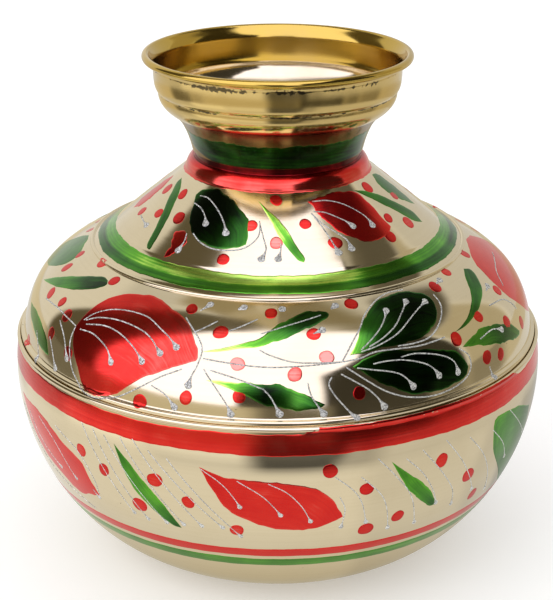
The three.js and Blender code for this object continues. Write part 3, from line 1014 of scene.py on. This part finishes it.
# %% Leaves, in pixels of the photograph
RED_LEAVES = {
    "big leaf": (
        "shell", (0.6, 0.42, 0.33, 0.28),
        [(75, 327.5), (92.5, 308), (103.5, 300.5), (120, 295), (137, 293.5), (153.5, 296), (166.5, 303.5),
         (177.5, 312), (187, 322), (193.5, 335), (197.5, 347), (198, 358)],
        [(73, 344), (77, 366.5), (83, 386.5), (90.5, 394), (100, 397), (109, 396), (118.5, 392.5),
         (129.5, 385), (142.5, 378.5), (157, 373), (172, 367.5), (187, 364), (195, 362)]),
    "cone leaf": (
        "shell", (0.5, 0.72, 0.62, 0.4, 0.35),
        [(307.5, 201.5), (321.5, 196), (334.5, 192), (348, 191), (357, 193), (364.5, 198.5), (374, 208),
         (380.5, 216), (386, 221), (391, 226.5)],
        [(312.5, 206), (318, 213.5), (325.5, 221), (334.5, 228.5), (346, 235), (357, 239.5),
         (366.5, 241.5), (376, 240.5), (383.5, 238), (389, 232)]),
    "cone petal": (
        "shell", (0.3, 0.45, 0.8),
        [(185, 230.5), (175.5, 231.5), (172, 239), (171, 246), (166.5, 251.5), (163.5, 257.5)],
        [(187.5, 237), (185, 244.5), (177.5, 251), (170, 255.5)]),
    "cone left edge": (
        "shell", (0.5, 0.5),
        [(174, 175), (166.5, 183.5), (159, 190.5), (148, 200), (140.5, 205.5), (133.5, 207.5)],
        None),
    "dome right edge": (
        "shell", (0.3, 0.4, 0.35),
        [(469.5, 235), (466.5, 241.5), (473, 260), (482.5, 271.5), (493.5, 282.5), (505, 294),
         (516, 301.5), (526.5, 310.5)],
        None),
    "bowl left edge": (
        "bowl", (0.3, 0.4, 0.4),
        [(23, 391), (29.5, 400.5), (42.5, 415), (55.5, 433.5), (72, 452), (83, 465), (90.5, 480),
         (100, 495.5)],
        None),
    "bowl leaf": (
        "bowl", (0.5, 0.44, 0.42, 0.45),
        [(199, 467), (216.5, 474.5), (240.5, 480), (268, 481.5), (288, 484.5), (310.5, 486.5),
         (321.5, 492), (334.5, 501.5), (343, 516.5)],
        [(205.5, 478), (212.5, 491), (225.5, 507.5), (244, 519.5), (268, 527), (288, 530.5),
         (312.5, 528.5), (331, 523)]),
}
GREEN_LEAVES = {
    "cone leaf": (
        "shell", (0.7, 0.95, 0.95, 0.75, 0.5),
        [(196, 194.5), (203.5, 189), (212.5, 188.5), (220, 190), (227.5, 195.5), (235, 202.5),
         (242.5, 211), (248, 219.5), (249, 226), (248, 237), (246, 244.5)],
        [(194, 202), (190.5, 214.5), (189.5, 226), (193.5, 235), (201.5, 242.5), (212.5, 247),
         (225.5, 249), (236.5, 248)]),
    "cone right edge": (
        "shell", (0.55, 0.6),
        [(372, 174.5), (379.5, 185.5), (391, 194), (404, 200.5), (415, 204)],
        None),
    "dome left edge": (
        "shell", (0.5, 0.55),
        [(48.5, 265.5), (59, 265.5), (70.5, 261), (79.5, 253.5), (87, 240.5), (89, 235)],
        None),
    "upper leaf": (
        "shell", (0.1, 0.6, 0.8, 0.84, 0.78),
        [(349.5, 355.5), (357, 340.5), (362, 324), (368.5, 310.5), (379.5, 299.5), (394.5, 293),
         (409.5, 291.5), (422.5, 293), (432, 299.5), (436, 308)],
        [(361, 353.5), (376, 350), (391, 346), (405.5, 343.5), (419, 338.5), (430, 331), (435.5, 322),
         (437, 313)]),
    "lower leaf": (
        "shell", (0.55, 0.78, 0.84, 0.84, 0.74),
        [(352.5, 366.5), (364.5, 359.5), (379.5, 352), (394.5, 350), (409.5, 350), (424.5, 349.5),
         (439.5, 349), (454.5, 351), (463.5, 357.5), (468.5, 366.5)],
        [(364.5, 373.5), (376, 380), (389, 386.5), (402, 391), (415, 394), (428, 393), (443, 389),
         (456, 383.5), (465.5, 376)]),
    "lime leaf": (
        "shell", (0.1, 0.14, 0.4, 0.85, 0.8),
        [(200.5, 352), (222, 348), (240, 344), (258, 338.5), (272, 329), (284, 321), (303, 312.5),
         (316, 310.5), (325.5, 311.5), (329, 314)],
        [(222, 351.5), (246, 348), (260, 347), (282.5, 339.5), (301, 332), (316, 324.5), (327.5, 318)]),
    "low leaf": (
        "shell", (0.12, 0.25, 0.9, 0.45, 0.8),
        [(205.5, 380), (222, 381), (246, 383), (268, 384), (278.5, 384.5), (297.5, 391), (312.5, 398.5),
         (325.5, 404.5)],
        [(229.5, 389), (248, 397.5), (260, 403.5), (278.5, 408), (297.5, 410.5), (312.5, 410),
         (321.5, 407.5)]),
    "right leaf": (
        "shell", (0.4, 0.5, 0.75, 0.5),
        [(462.5, 347), (473, 335), (484, 326.5), (497.5, 324), (510.5, 324), (519.5, 330.5)],
        [(480.5, 345.5), (495.5, 344.5), (510.5, 340.5), (519, 336)]),
    "bowl right edge": (
        "bowl", (0.5, 0.35, 0.6),
        [(529, 404.5), (518, 406), (503, 413.5), (494.5, 421), (493.5, 434), (493.5, 451), (496.5, 462),
         (499, 467)],
        None),
}
GREEN_STROKES = {
    "cone left": (
        "shell", (0.6, 0.62, 0.7),
        [(182, 177.5), (177, 182), (171.5, 192), (163, 211), (154.5, 229.5), (147.5, 243), (147, 248)],
        [(180.5, 189), (173, 207.5), (164, 226), (154.5, 242.5), (150, 249.5)]),
    "cone middle": (
        "shell", (0.5, 0.2, 0.12, 0.16, 0.5, 0.3),
        [(258, 200), (264, 210), (271, 222), (279, 237), (288, 249), (297, 259.5), (304, 262.5)],
        [(268, 210), (280, 220.5), (290, 234), (298, 248), (305, 257.5)]),
    "cone right": (
        "shell", (0.5, 0.6, 0.62),
        [(353.5, 190), (366.5, 191), (381.5, 195.5), (396.5, 202.5), (411.5, 210.5), (422.5, 222)],
        [(372, 199), (387, 206.5), (400, 213), (413, 220.5)]),
    "dome left": (
        "shell", (0.4, 0.42, 0.45, 0.75, 0.8),
        [(43.5, 279.5), (61, 276.5), (77.5, 276), (92.5, 276), (103.5, 276.5), (108, 280.5)],
        [(52, 285), (64.5, 288.5), (81.5, 290), (96, 288.5), (106, 285.5)]),
    "dome left low": (
        "shell", (0.5, 0.45, 0.5),
        [(31.5, 301.5), (30.5, 313), (33.5, 327.5), (38, 342.5), (43.5, 351.5), (48.5, 355.5)],
        [(37, 311), (42.5, 325.5), (47, 340.5)]),
    "crescent": (
        "shell", (0.8, 0.6, 0.6, 0.7),
        [(448, 335), (458, 329.5), (467.5, 316.5), (471, 303), (470, 290), (465.5, 279), (463.5, 268.5)],
        [(463.5, 327.5), (473, 318), (479.5, 307), (482.5, 292), (478.5, 279), (471, 269.5)]),
    "bowl left": (
        "bowl", (0.7, 0.32, 0.36, 0.75),
        [(113.5, 443), (118.5, 457.5), (127.5, 478), (138.5, 494.5), (155.5, 511.5), (172, 524.5),
         (182, 528)],
        [(129.5, 463), (142.5, 480), (157, 496.5), (171, 514)]),
    "bowl right": (
        "bowl", (0.5, 0.35, 0.4, 0.7),
        [(391.5, 461.5), (398.5, 473.5), (407.5, 488.5), (417, 497.5), (428, 505.5), (434, 504.5)],
        [(407.5, 472.5), (422.5, 482), (431, 491), (434.5, 499)]),
}

# %% Dots, in pixels of the photograph
DOTS = {
    "shell": [(167, 189), (183, 194), (142, 211), (159, 213), (179, 218), (223, 259), (251, 226),
              (276, 200), (305, 224), (335, 243), (367, 187), (388, 218), (408, 222), (390, 236),
              (394, 195), (80, 254), (67, 267), (103, 263), (114, 281), (51, 293), (62, 302), (67, 315),
              (51, 333), (68, 353), (192, 309), (271, 313), (221, 332), (140, 402), (186, 398), (239, 397),
              (351, 304), (314, 334), (359, 393), (465, 254), (446, 272), (435, 287), (497, 290),
              (478, 316), (456, 339), (487, 357), (501, 354), (507, 322), (91, 229.5), (460, 221),
              (521.5, 322), (28.5, 341)],
    "bowl": [(81, 450), (104, 470), (155, 480), (188, 502), (140, 505), (237, 530), (330, 471), (367, 489),
             (398, 516), (366, 529), (442, 460), (468, 475), (472, 494)],
}
# Painted highlight: the dots in the soft light's reflection are laid thin, so they read pale coral.
LIT_DOTS = {"shell": [(276, 243), (238, 364), (327, 357), (295, 374)], "bowl": []}
DOT_RADIUS = {"shell": 3.2, "bowl": 3.6}
DOT_DEPTH, LIT_DEPTH = 0.4, 0.02
BACK = 180.0
VIEW_EDGE = 76.0


def turns(face, pixels):
    """The turns at which a motif is laid: in front, and unless it is at the view's edge also
    at the back."""
    return [0.0] if np.abs(sighted(face, pixels)[:, 0]).max() >= VIEW_EDGE else [0.0, BACK]


def painted(leaves, ragged, dice):
    """The leaves of a list, each at its turns."""
    for face, depths, one_side, other_side in leaves.values():
        for by in turns(face, one_side):
            yield leaf(face, one_side, other_side, depths, dice, ragged, by)


def dabbed(dots, depth, dice):
    """The dots of a list in front, and at the back those that aren't at the view's edge."""
    for face, pixels in dots.items():
        for angle, run in sighted(face, pixels) if pixels else []:
            laid = depth + dice.uniform(-0.08, 0.1)
            yield dab(face, (angle, run), DOT_RADIUS[face], laid, dice)
            if abs(angle) < VIEW_EDGE:
                yield dab(face, (angle + BACK, run), DOT_RADIUS[face], laid, dice)


def paint(name, grids, material):
    """One mesh for all the motifs of a kind."""
    return make_mesh(name, list(grids), material, weld=True)


for name, leaves, ragged, seed, material in (
        ("red_leaves", RED_LEAVES, 0.3, 11, red_lacquer),
        ("green_leaves", GREEN_LEAVES, 0.3, 12, green_lacquer),
        ("green_strokes", GREEN_STROKES, 0.12, 13, green_lacquer)):
    paint(name, painted(leaves, ragged, np.random.default_rng(seed)), material)
dice = np.random.default_rng(14)
dabs = [*dabbed(DOTS, DOT_DEPTH, dice), *dabbed(LIT_DOTS, LIT_DEPTH, dice)]
paint("red_dots", dabs, red_lacquer)

# %% [markdown]
# Each silver line is a list of the few places it passes, from where the paste starts to
# the drop that ends it. The plain lines, which outline the leaves, end without a drop. The
# lines on the bowl are thinner, with smaller drops, and their paste is fainter.

# %% Silver lines, in pixels of the photograph
BIG_NODE = (76, 326)
PAIR_NODE = (342, 362)
SHELL_LINES = [
    [(200, 195.5), (209, 198.5), (218, 210), (224, 223), (226.5, 236)],
    [(194, 202.5), (201, 208), (205, 216), (206, 226.5)],
    [(259.5, 222), (264, 240), (266, 250), (259.5, 262)], [(281, 243), (280.5, 252), (277, 262)],
    [(187, 233), (184, 242), (176, 253)],
    [(312, 201.5), (327, 200.5), (343, 204), (359, 212), (369, 220), (374, 228)],
    [(313, 211.5), (325, 212.5), (339, 218), (349, 223), (355.5, 228.5)],
    [(311, 213), (323, 224), (337, 233), (347, 240), (353, 251.5)],
    [(312, 214), (323, 228), (331, 240), (340.5, 255.5)], [(141, 215), (147.5, 226.5)],
    [(84, 320), (96, 313), (112, 309.5), (130, 311), (148, 317), (160, 328), (170, 338), (178.5, 350)],
    [(86, 320), (100, 317.5), (118, 320), (136, 327), (150, 337), (162, 356)],
    [(86, 324), (104, 325.5), (118, 332), (130, 343), (138, 354), (143.5, 364.5)],
    [(80, 329), (92, 333), (102, 342), (108, 351), (112, 365.5)],
    [(60, 320), (64, 336), (66, 352), (67, 362)], [(37, 330), (38, 345), (36, 363)],
    [(50, 336), (52.5, 352), (55.5, 371.5)],
    [(186, 317), (195, 332), (200.5, 342), (202, 352), (197, 366), (191.5, 376), (187, 389)],
    [(200, 311), (213.5, 302.5)], [(238, 309.5), (247.5, 306)], [(279, 310.5), (285.5, 307.5)],
    [(331, 309), (337.5, 303.5)], [(313, 334), (325.5, 328.5)],
    [(361, 350), (371, 340), (379, 330), (384, 320), (386.5, 308)],
    [(369, 347), (383, 338), (395, 326), (401, 314), (406.5, 299)],
    [(361, 352), (379, 345), (397, 334), (409, 320), (417, 310), (426.5, 299.5)],
    [(373, 364), (387, 361), (405, 360), (423, 363), (433, 368), (441, 378)],
    [(401, 357), (415, 353.5), (433, 354), (447, 357), (455, 363), (459, 375.5)],
    [(357, 368), (375, 370), (393, 372), (405, 377), (415.5, 389)],
    [(341, 374), (356, 382), (368, 389), (378, 398), (386.5, 409.5)],
    [(332, 377), (329, 385), (337, 398), (359.5, 420)], [(307.5, 382.5), (312, 397), (326, 417)],
    [(262, 388), (271, 398), (281.5, 417.5)], [(203.5, 369), (218, 391.5), (227.5, 406.5), (232, 418)],
    [(151, 385), (165.5, 395), (176.5, 410.5)], [(480, 339), (492, 329.5), (503.5, 329.5)],
    [(489.5, 366), (496.5, 379.5)], [(436, 284), (441, 278.5)], [(486, 291), (488, 284)],
]
SHELL_PLAIN = [
    [(193, 233), (200, 242), (212, 248.5), (226, 250.5), (240, 249.5), (250, 245), (258, 237),
     (260, 228), (259.5, 221)],
    [BIG_NODE, (70.4, 340), (70, 356), (73, 372), (80, 387), (88, 395), (100, 399)],
    [(100, 399), (120, 396), (140, 387), (160, 377), (182, 369)],
    [BIG_NODE, (68, 318), (57, 307), (46, 298)],
    [(195, 332), (206, 327), (218, 321)], [(229, 331), (240, 327), (258, 319)],
    [PAIR_NODE, (353, 341), (360, 328), (365, 314), (375, 301), (387, 293), (403, 289.5)],
    [(433, 294), (440, 303), (441.5, 314), (437, 328), (429, 337.5), (415, 343), (398, 346)],
    [(346, 367), (355, 373), (371, 383), (387, 391.5), (405, 396.5), (423, 397), (439, 394),
     (455, 387), (466, 378), (471, 367), (468.5, 355), (459, 348.5)],
    [PAIR_NODE, (361, 358), (375, 352), (395, 349), (420, 345.5), (445, 337)],
    [PAIR_NODE, (297, 366.5), (261, 367), (203, 358.5)],
    [PAIR_NODE, (296.5, 362.5), (270.5, 355.5), (259.5, 350)],
    [(210, 370), (240, 380), (262, 389)],
    [(260.5, 334), (288, 325.5), (321, 315)],
    [(489, 305.5), (501.5, 299.5), (510.5, 302.5), (516.5, 309)],
    [(492, 252), (496, 270), (503, 286)],
]
BOWL_LINES = [
    [(81.5, 421.5), (136, 514)], [(92.5, 428), (150, 520.5)], [(103.5, 434.5), (168.5, 524)],
    [(119.5, 437), (185.5, 526)], [(132, 438.5), (203.5, 527.5)], [(147.5, 450), (224.5, 529)],
    [(166, 458), (242.5, 537.5)], [(200, 468.5), (220, 483), (233, 497), (241, 509)],
    [(236.5, 481), (260, 495), (273, 506.5), (282, 517)],
    [(268, 484), (287, 493), (302, 507), (311.5, 523)], [(340, 497), (345, 510), (340.5, 528.5)],
    [(335, 477), (353, 490), (362, 503), (366, 523.5)],
    [(361.5, 477), (380, 493), (386.5, 507), (387.5, 529)],
    [(378, 458.5), (396.5, 476.5), (411.5, 496.5), (414, 523.5)],
    [(406.5, 458.5), (423, 473), (433, 490), (436, 504)],
    [(423, 450), (443, 473), (452.5, 490), (450.5, 505)],
    [(446.5, 440), (463, 461.5), (470.5, 480), (471.5, 490)],
    [(470, 437), (483, 453), (487.5, 470), (484, 489)], [(493, 430), (503, 443), (504, 457)],
    [(510, 410), (518, 420), (522, 431)], [(30, 410), (43, 440), (63, 468)],
    [(39, 415.5), (55, 441.5), (78, 480)], [(93, 489), (101, 499)],
]
BOWL_PLAIN = [[(24, 401), (50.5, 461), (96.5, 508.5)], [(55, 425), (77, 450), (93, 477), (100, 495)]]
BOWL_DROP, BOWL_HALF = 1.25, 0.24


def squeezed_all(face, lines, drop, half):
    """Every line of a list, each at its turns."""
    for line in lines:
        for by in turns(face, line):
            yield squeezed(face, line, drop, half, by)


bold = [*squeezed_all("shell", SHELL_LINES, DROP_HALF, LINE_HALF),
        *squeezed_all("shell", SHELL_PLAIN, LINE_HALF, LINE_HALF)]
faint = [*squeezed_all("bowl", BOWL_LINES, BOWL_DROP, BOWL_HALF),
         *squeezed_all("bowl", BOWL_PLAIN, BOWL_HALF, BOWL_HALF)]
paint("silver_lines", bold, silver_paste)
paint("faint_lines", faint, faint_paste)

# %% [markdown]
# ## Studio
#
# Polished metal shows the room more than itself. The pot stands on a white floor in white
# surroundings, with a large soft light at the front left. What the metal mirrors was set
# from the photograph: a dome of patches, seen only in reflections, puts the soft light, the
# dark flags beside it and the paler far walls where the pot shows them.

# %% Floor and world
def stage_material(name):
    """An empty material with its output."""
    material = bpy.data.materials.new(name)
    material.use_nodes = True
    tree = material.node_tree
    tree.nodes.clear()
    return material, tree, node(tree, "ShaderNodeOutputMaterial").inputs["Surface"]


FLOOR_RADIUS = 9.0
material, tree, surface = stage_material("floor")
matt = node(tree, "ShaderNodeBsdfDiffuse", {"Color": (0.82, 0.82, 0.82, 1)}).outputs[0]
glow = node(tree, "ShaderNodeEmission", {"Color": (1, 1, 1, 1), "Strength": 0.27}).outputs[0]
tree.links.new(node(tree, "ShaderNodeAddShader", {0: matt, 1: glow}).outputs[0], surface)
bpy.ops.mesh.primitive_circle_add(vertices=96, radius=FLOOR_RADIUS, fill_type="NGON")
floor = bpy.context.object
floor.name = "floor"
floor.data.materials.append(material)

world = bpy.data.worlds.new("studio")
bpy.context.scene.world = world
world.use_nodes = True
background = world.node_tree.nodes["Background"].inputs
background["Color"].default_value = (1, 1, 1, 1)
background["Strength"].default_value = 1.0
print("floor of radius", FLOOR_RADIUS, "m, and a white world")

# %% [markdown]
# The dome is painted like a picture: a base colour, and over it patches with soft edges.
# A patch lies between two bearings and two elevations, in degrees; bearing 0 is behind
# the camera and grows to the right. The soft light's right edge leans outwards as it
# rises, and the right flag follows it.

# %% The dome that only the metal sees
BRIGHTNESS, DOME_RADIUS = 1.27, 5.0
CREAM, WARM, TAN, DAYLIGHT = (1, 0.98, 0.93), (1, 0.9, 0.66), (1, 0.85, 0.52), (1, 0.98, 1.2)
BASE_STRENGTH, BELOW_FLOOR = 0.68, -9
PATCHES = [
    (-181, -127, 45, 60, 0.55, CREAM, 5), (-165, -135, 60, 75, 0.3, TAN, 5),
    (-181, -116, 75, 91, 0.42, TAN, 8), (127, 181, -5, 91, 0.55, CREAM, 4),
    (90, 125, -5, 42, 0.43, WARM, 4), (88, 140, 42, 62, 0.1, WARM, 4),
    (88, 125, 62, 78, 0.25, WARM, 16), (110, 181, 68, 91, 0.22, TAN, 8),
]
LIGHT_LEFT, LIGHT_STRENGTH = -83, 1.45
LIGHT_RIGHT = ([-5, 30, 35, 40, 45, 50, 55, 60, 65, 70, 90], [19, 19, 26, 34, 42, 46, 54, 71, 87, 84, 80])
LEFT_FLAG = ([-5, 45, 60, 66, 75, 86], [-121, -121, -126, -130, -132, -145])
LEFT_FLAG_END, LEFT_FLAG_TOP, LEFT_FLAG_STRENGTH = -84, 85, 0.1
RIGHT_FLAG_END, RIGHT_FLAG_TOP, RIGHT_FLAG_STRENGTH = 88, 68, 0.04
LIGHT_SOFT = ([66, 74], [5, 25])
CAMERA_LEFT, CAMERA_RIGHT, CAMERA_TOP, CAMERA_STRENGTH = -17, 6, 15, 0.05
BEARINGS = np.linspace(-180, 180, 361)


def cover(value, low, high, soft):
    """1 between low and high, falling smoothly to 0 over the soft margin across each edge."""
    inside = np.clip(np.minimum(value - low, high - value) / soft + 0.5, 0, 1)
    return inside**2 * (3 - 2 * inside)


def lay_over(below, strength, tint, share):
    """A tone laid over what is there: below + share * (strength * tint - below)."""
    return below + share[..., None] * (strength * np.array(tint) - below)


def dome_light(bearing, rise):
    """Base colour, then patches, flags, the light and the camera's dark shape, each laid
    over what is there. High up the light's edges are softer."""
    colour = BASE_STRENGTH * np.array(CREAM) + 0 * bearing[..., None]
    for left, right, low, high, strength, tint, soft in PATCHES:
        share = cover(bearing, left, right, soft) * cover(rise, low, high, soft)
        colour = lay_over(colour, strength, tint, share)
    flag_edge, light_edge = np.interp(rise, *LEFT_FLAG), np.interp(rise, *LIGHT_RIGHT)
    flag = cover(bearing, flag_edge, LEFT_FLAG_END, 4) * cover(rise, BELOW_FLOOR, LEFT_FLAG_TOP, 8)
    colour = lay_over(colour, LEFT_FLAG_STRENGTH, TAN, flag)
    flag = cover(bearing, light_edge, RIGHT_FLAG_END, 3) * (rise < RIGHT_FLAG_TOP)
    colour = lay_over(colour, RIGHT_FLAG_STRENGTH, WARM, flag)
    light = cover(bearing, LIGHT_LEFT, light_edge, np.interp(rise, *LIGHT_SOFT))
    colour = lay_over(colour, LIGHT_STRENGTH, DAYLIGHT, light)
    dark = cover(bearing, CAMERA_LEFT, CAMERA_RIGHT, 5) * cover(rise, BELOW_FLOOR, CAMERA_TOP, 6)
    return lay_over(colour, CAMERA_STRENGTH, WARM, dark)


def glowing(name, points, colours):
    """A stage piece that only reflections see, with its light in a colour attribute."""
    corners, _, _ = grid_faces(*points.shape[:2], False, False)
    mesh = bpy.data.meshes.new(name)
    mesh.from_pydata(points.reshape(-1, 3).tolist(), [], corners.tolist())
    rgba = np.concatenate([colours * BRIGHTNESS, np.ones((*colours.shape[:2], 1))], 2)
    painted_light = mesh.attributes.new("light", "FLOAT_COLOR", "POINT")
    painted_light.data.foreach_set("color", rgba.ravel().astype(np.float32))
    material, tree, surface = stage_material(name)
    light = node(tree, "ShaderNodeAttribute", attribute_name="light").outputs["Color"]
    tree.links.new(node(tree, "ShaderNodeEmission", {"Color": light, "Strength": 1.0}).outputs[0], surface)
    mesh.materials.append(material)
    piece = bpy.data.objects.new(name, mesh)
    bpy.context.scene.collection.objects.link(piece)
    for ray in ("camera", "diffuse", "shadow", "transmission", "volume_scatter"):
        setattr(piece, "visible_" + ray, False)
    print(name, len(corners), "faces")
    return piece


bearing, rise = np.meshgrid(BEARINGS, np.linspace(-2, 90, 93))
sky = round_axis(np.cos(np.radians(rise)), np.radians(bearing), np.sin(np.radians(rise)))
glowing("dome_light", sky * DOME_RADIUS, dome_light(bearing, rise))

# %% [markdown]
# Nearer the pot the metal shows a low wall, the edge of the table's sweep, and the floor,
# which is darker in front, where the camera stands. Each has a base strength and patches
# over it, between two directions in which the pot's side sees them. `from_axis` turns such
# a direction into a bearing. The floor's patches differ near the pot, halfway and far out.

# %% Low wall and floor that only the metal sees
POT_REACH, NEAREST_RING, MIRROR_HEIGHT = 0.12, 0.16, 0.0006
WALL_RADIUS, WALL_FOOT, WALL_TOP = 0.45, 0.02, 0.115
ALL_ROUND, SOFT_END = 200, 11
WALL_LIGHT = (0.5, [(-ALL_ROUND, -123, 0.6), (-123, -93, 0.16), (-93, -78, 0.38), (-78, -9, 0.55),
                    (-9, 20, 0.15), (20, 70, 0.05), (70, 88, 0.17), (88, 116, 0.24)])
NEAR_FLOOR = (0.72, [(40, 100, 0.62), (100, 130, 0.54), (130, ALL_ROUND, 0.4)])
MIDDLE_FLOOR = (0.56, [(-140, -50, 0.74), (-50, -17, 0.62), (-10, 26, 0.06), (26, 42, 0.38)])
FAR_FLOOR = (0.59, [(-100, -55, 0.93), (-55, -11, 0.8), (-11, 30, 0.11), (30, 42, 0.4)])
FLOOR_RINGS = [0.255, 0.3, 0.37]
SHADE = ([0.0, 0.055, 0.08, 0.11, 0.15], [0.35, 0.48, 0.6, 0.85, 1.0])
WARM_WITHIN, WARM_SOFT, WARMEST = 0.12, 0.06, 0.6


def from_axis(direction, away):
    """Bearing, about the axis, of what the pot's side sees in a direction. The side stands
    POT_REACH off the axis, at half the direction's angle."""
    aside = POT_REACH / away * np.sin(np.radians(direction) / 2)
    return direction - np.degrees(np.arcsin(aside))


def ring_light(bearing, away, base, patches):
    """The light of one ring: its base, and each patch laid over it with soft ends."""
    light = base + 0 * bearing
    for left, right, strength in patches:
        first, last = from_axis(np.array([left, right], float), away)
        light = light + cover(bearing, first, last, SOFT_END) * (strength - light)
    return light


def floor_light(bearing, away):
    """For one ring: the three floors' light, mixed by how far out the ring lies."""
    floors = (NEAR_FLOOR, MIDDLE_FLOOR, FAR_FLOOR)
    lights = [ring_light(bearing, max(away, NEAREST_RING), *floor) for floor in floors]
    step = np.interp(away, FLOOR_RINGS, [0, 1, 2])
    low = min(int(step), 1)
    return (lights[low] + (lights[low + 1] - lights[low]) * (step - low)) * np.interp(away, *SHADE)


bearing, level = np.meshgrid(BEARINGS, np.linspace(WALL_FOOT, WALL_TOP, 4))
wall_light = ring_light(bearing, WALL_RADIUS, *WALL_LIGHT)
wall = round_axis(WALL_RADIUS, np.radians(bearing), level)
glowing("low_wall", wall, wall_light[..., None] * np.array(WARM))

rings = np.concatenate([np.linspace(0.005, 0.5, 100), np.geomspace(0.52, 4.9, 20)])
bearing, away = np.meshgrid(BEARINGS, rings)
shine = np.stack([floor_light(row, ring) for row, ring in zip(bearing, rings)])
warmth = np.clip((WARM_WITHIN - away) / WARM_SOFT, 0, WARMEST)[..., None]
tint = np.array(CREAM) * (1 - warmth) + np.array(TAN) * warmth
glowing("floor_mirrored", round_axis(away, np.radians(bearing), MIRROR_HEIGHT), shine[..., None] * tint)

# %% [markdown]
# One lamp, at the front left where the soft light is, draws the shadow on the floor. It
# isn't mirrored, because the dome already holds the soft light.

# %% Key lamp
lamp_data = bpy.data.lights.new("key", "AREA")
lamp_data.shape, lamp_data.size, lamp_data.size_y, lamp_data.energy = "RECTANGLE", 1.4, 1.0, 9.0
lamp = bpy.data.objects.new("key", lamp_data)
bpy.context.scene.collection.objects.link(lamp)
lamp.location = (-1.1, -1.3, 1.6)
lamp.rotation_euler = (np.radians(45), 0, np.radians(-40))
lamp.visible_glossy = False
print("key lamp of", lamp_data.energy, "watts")
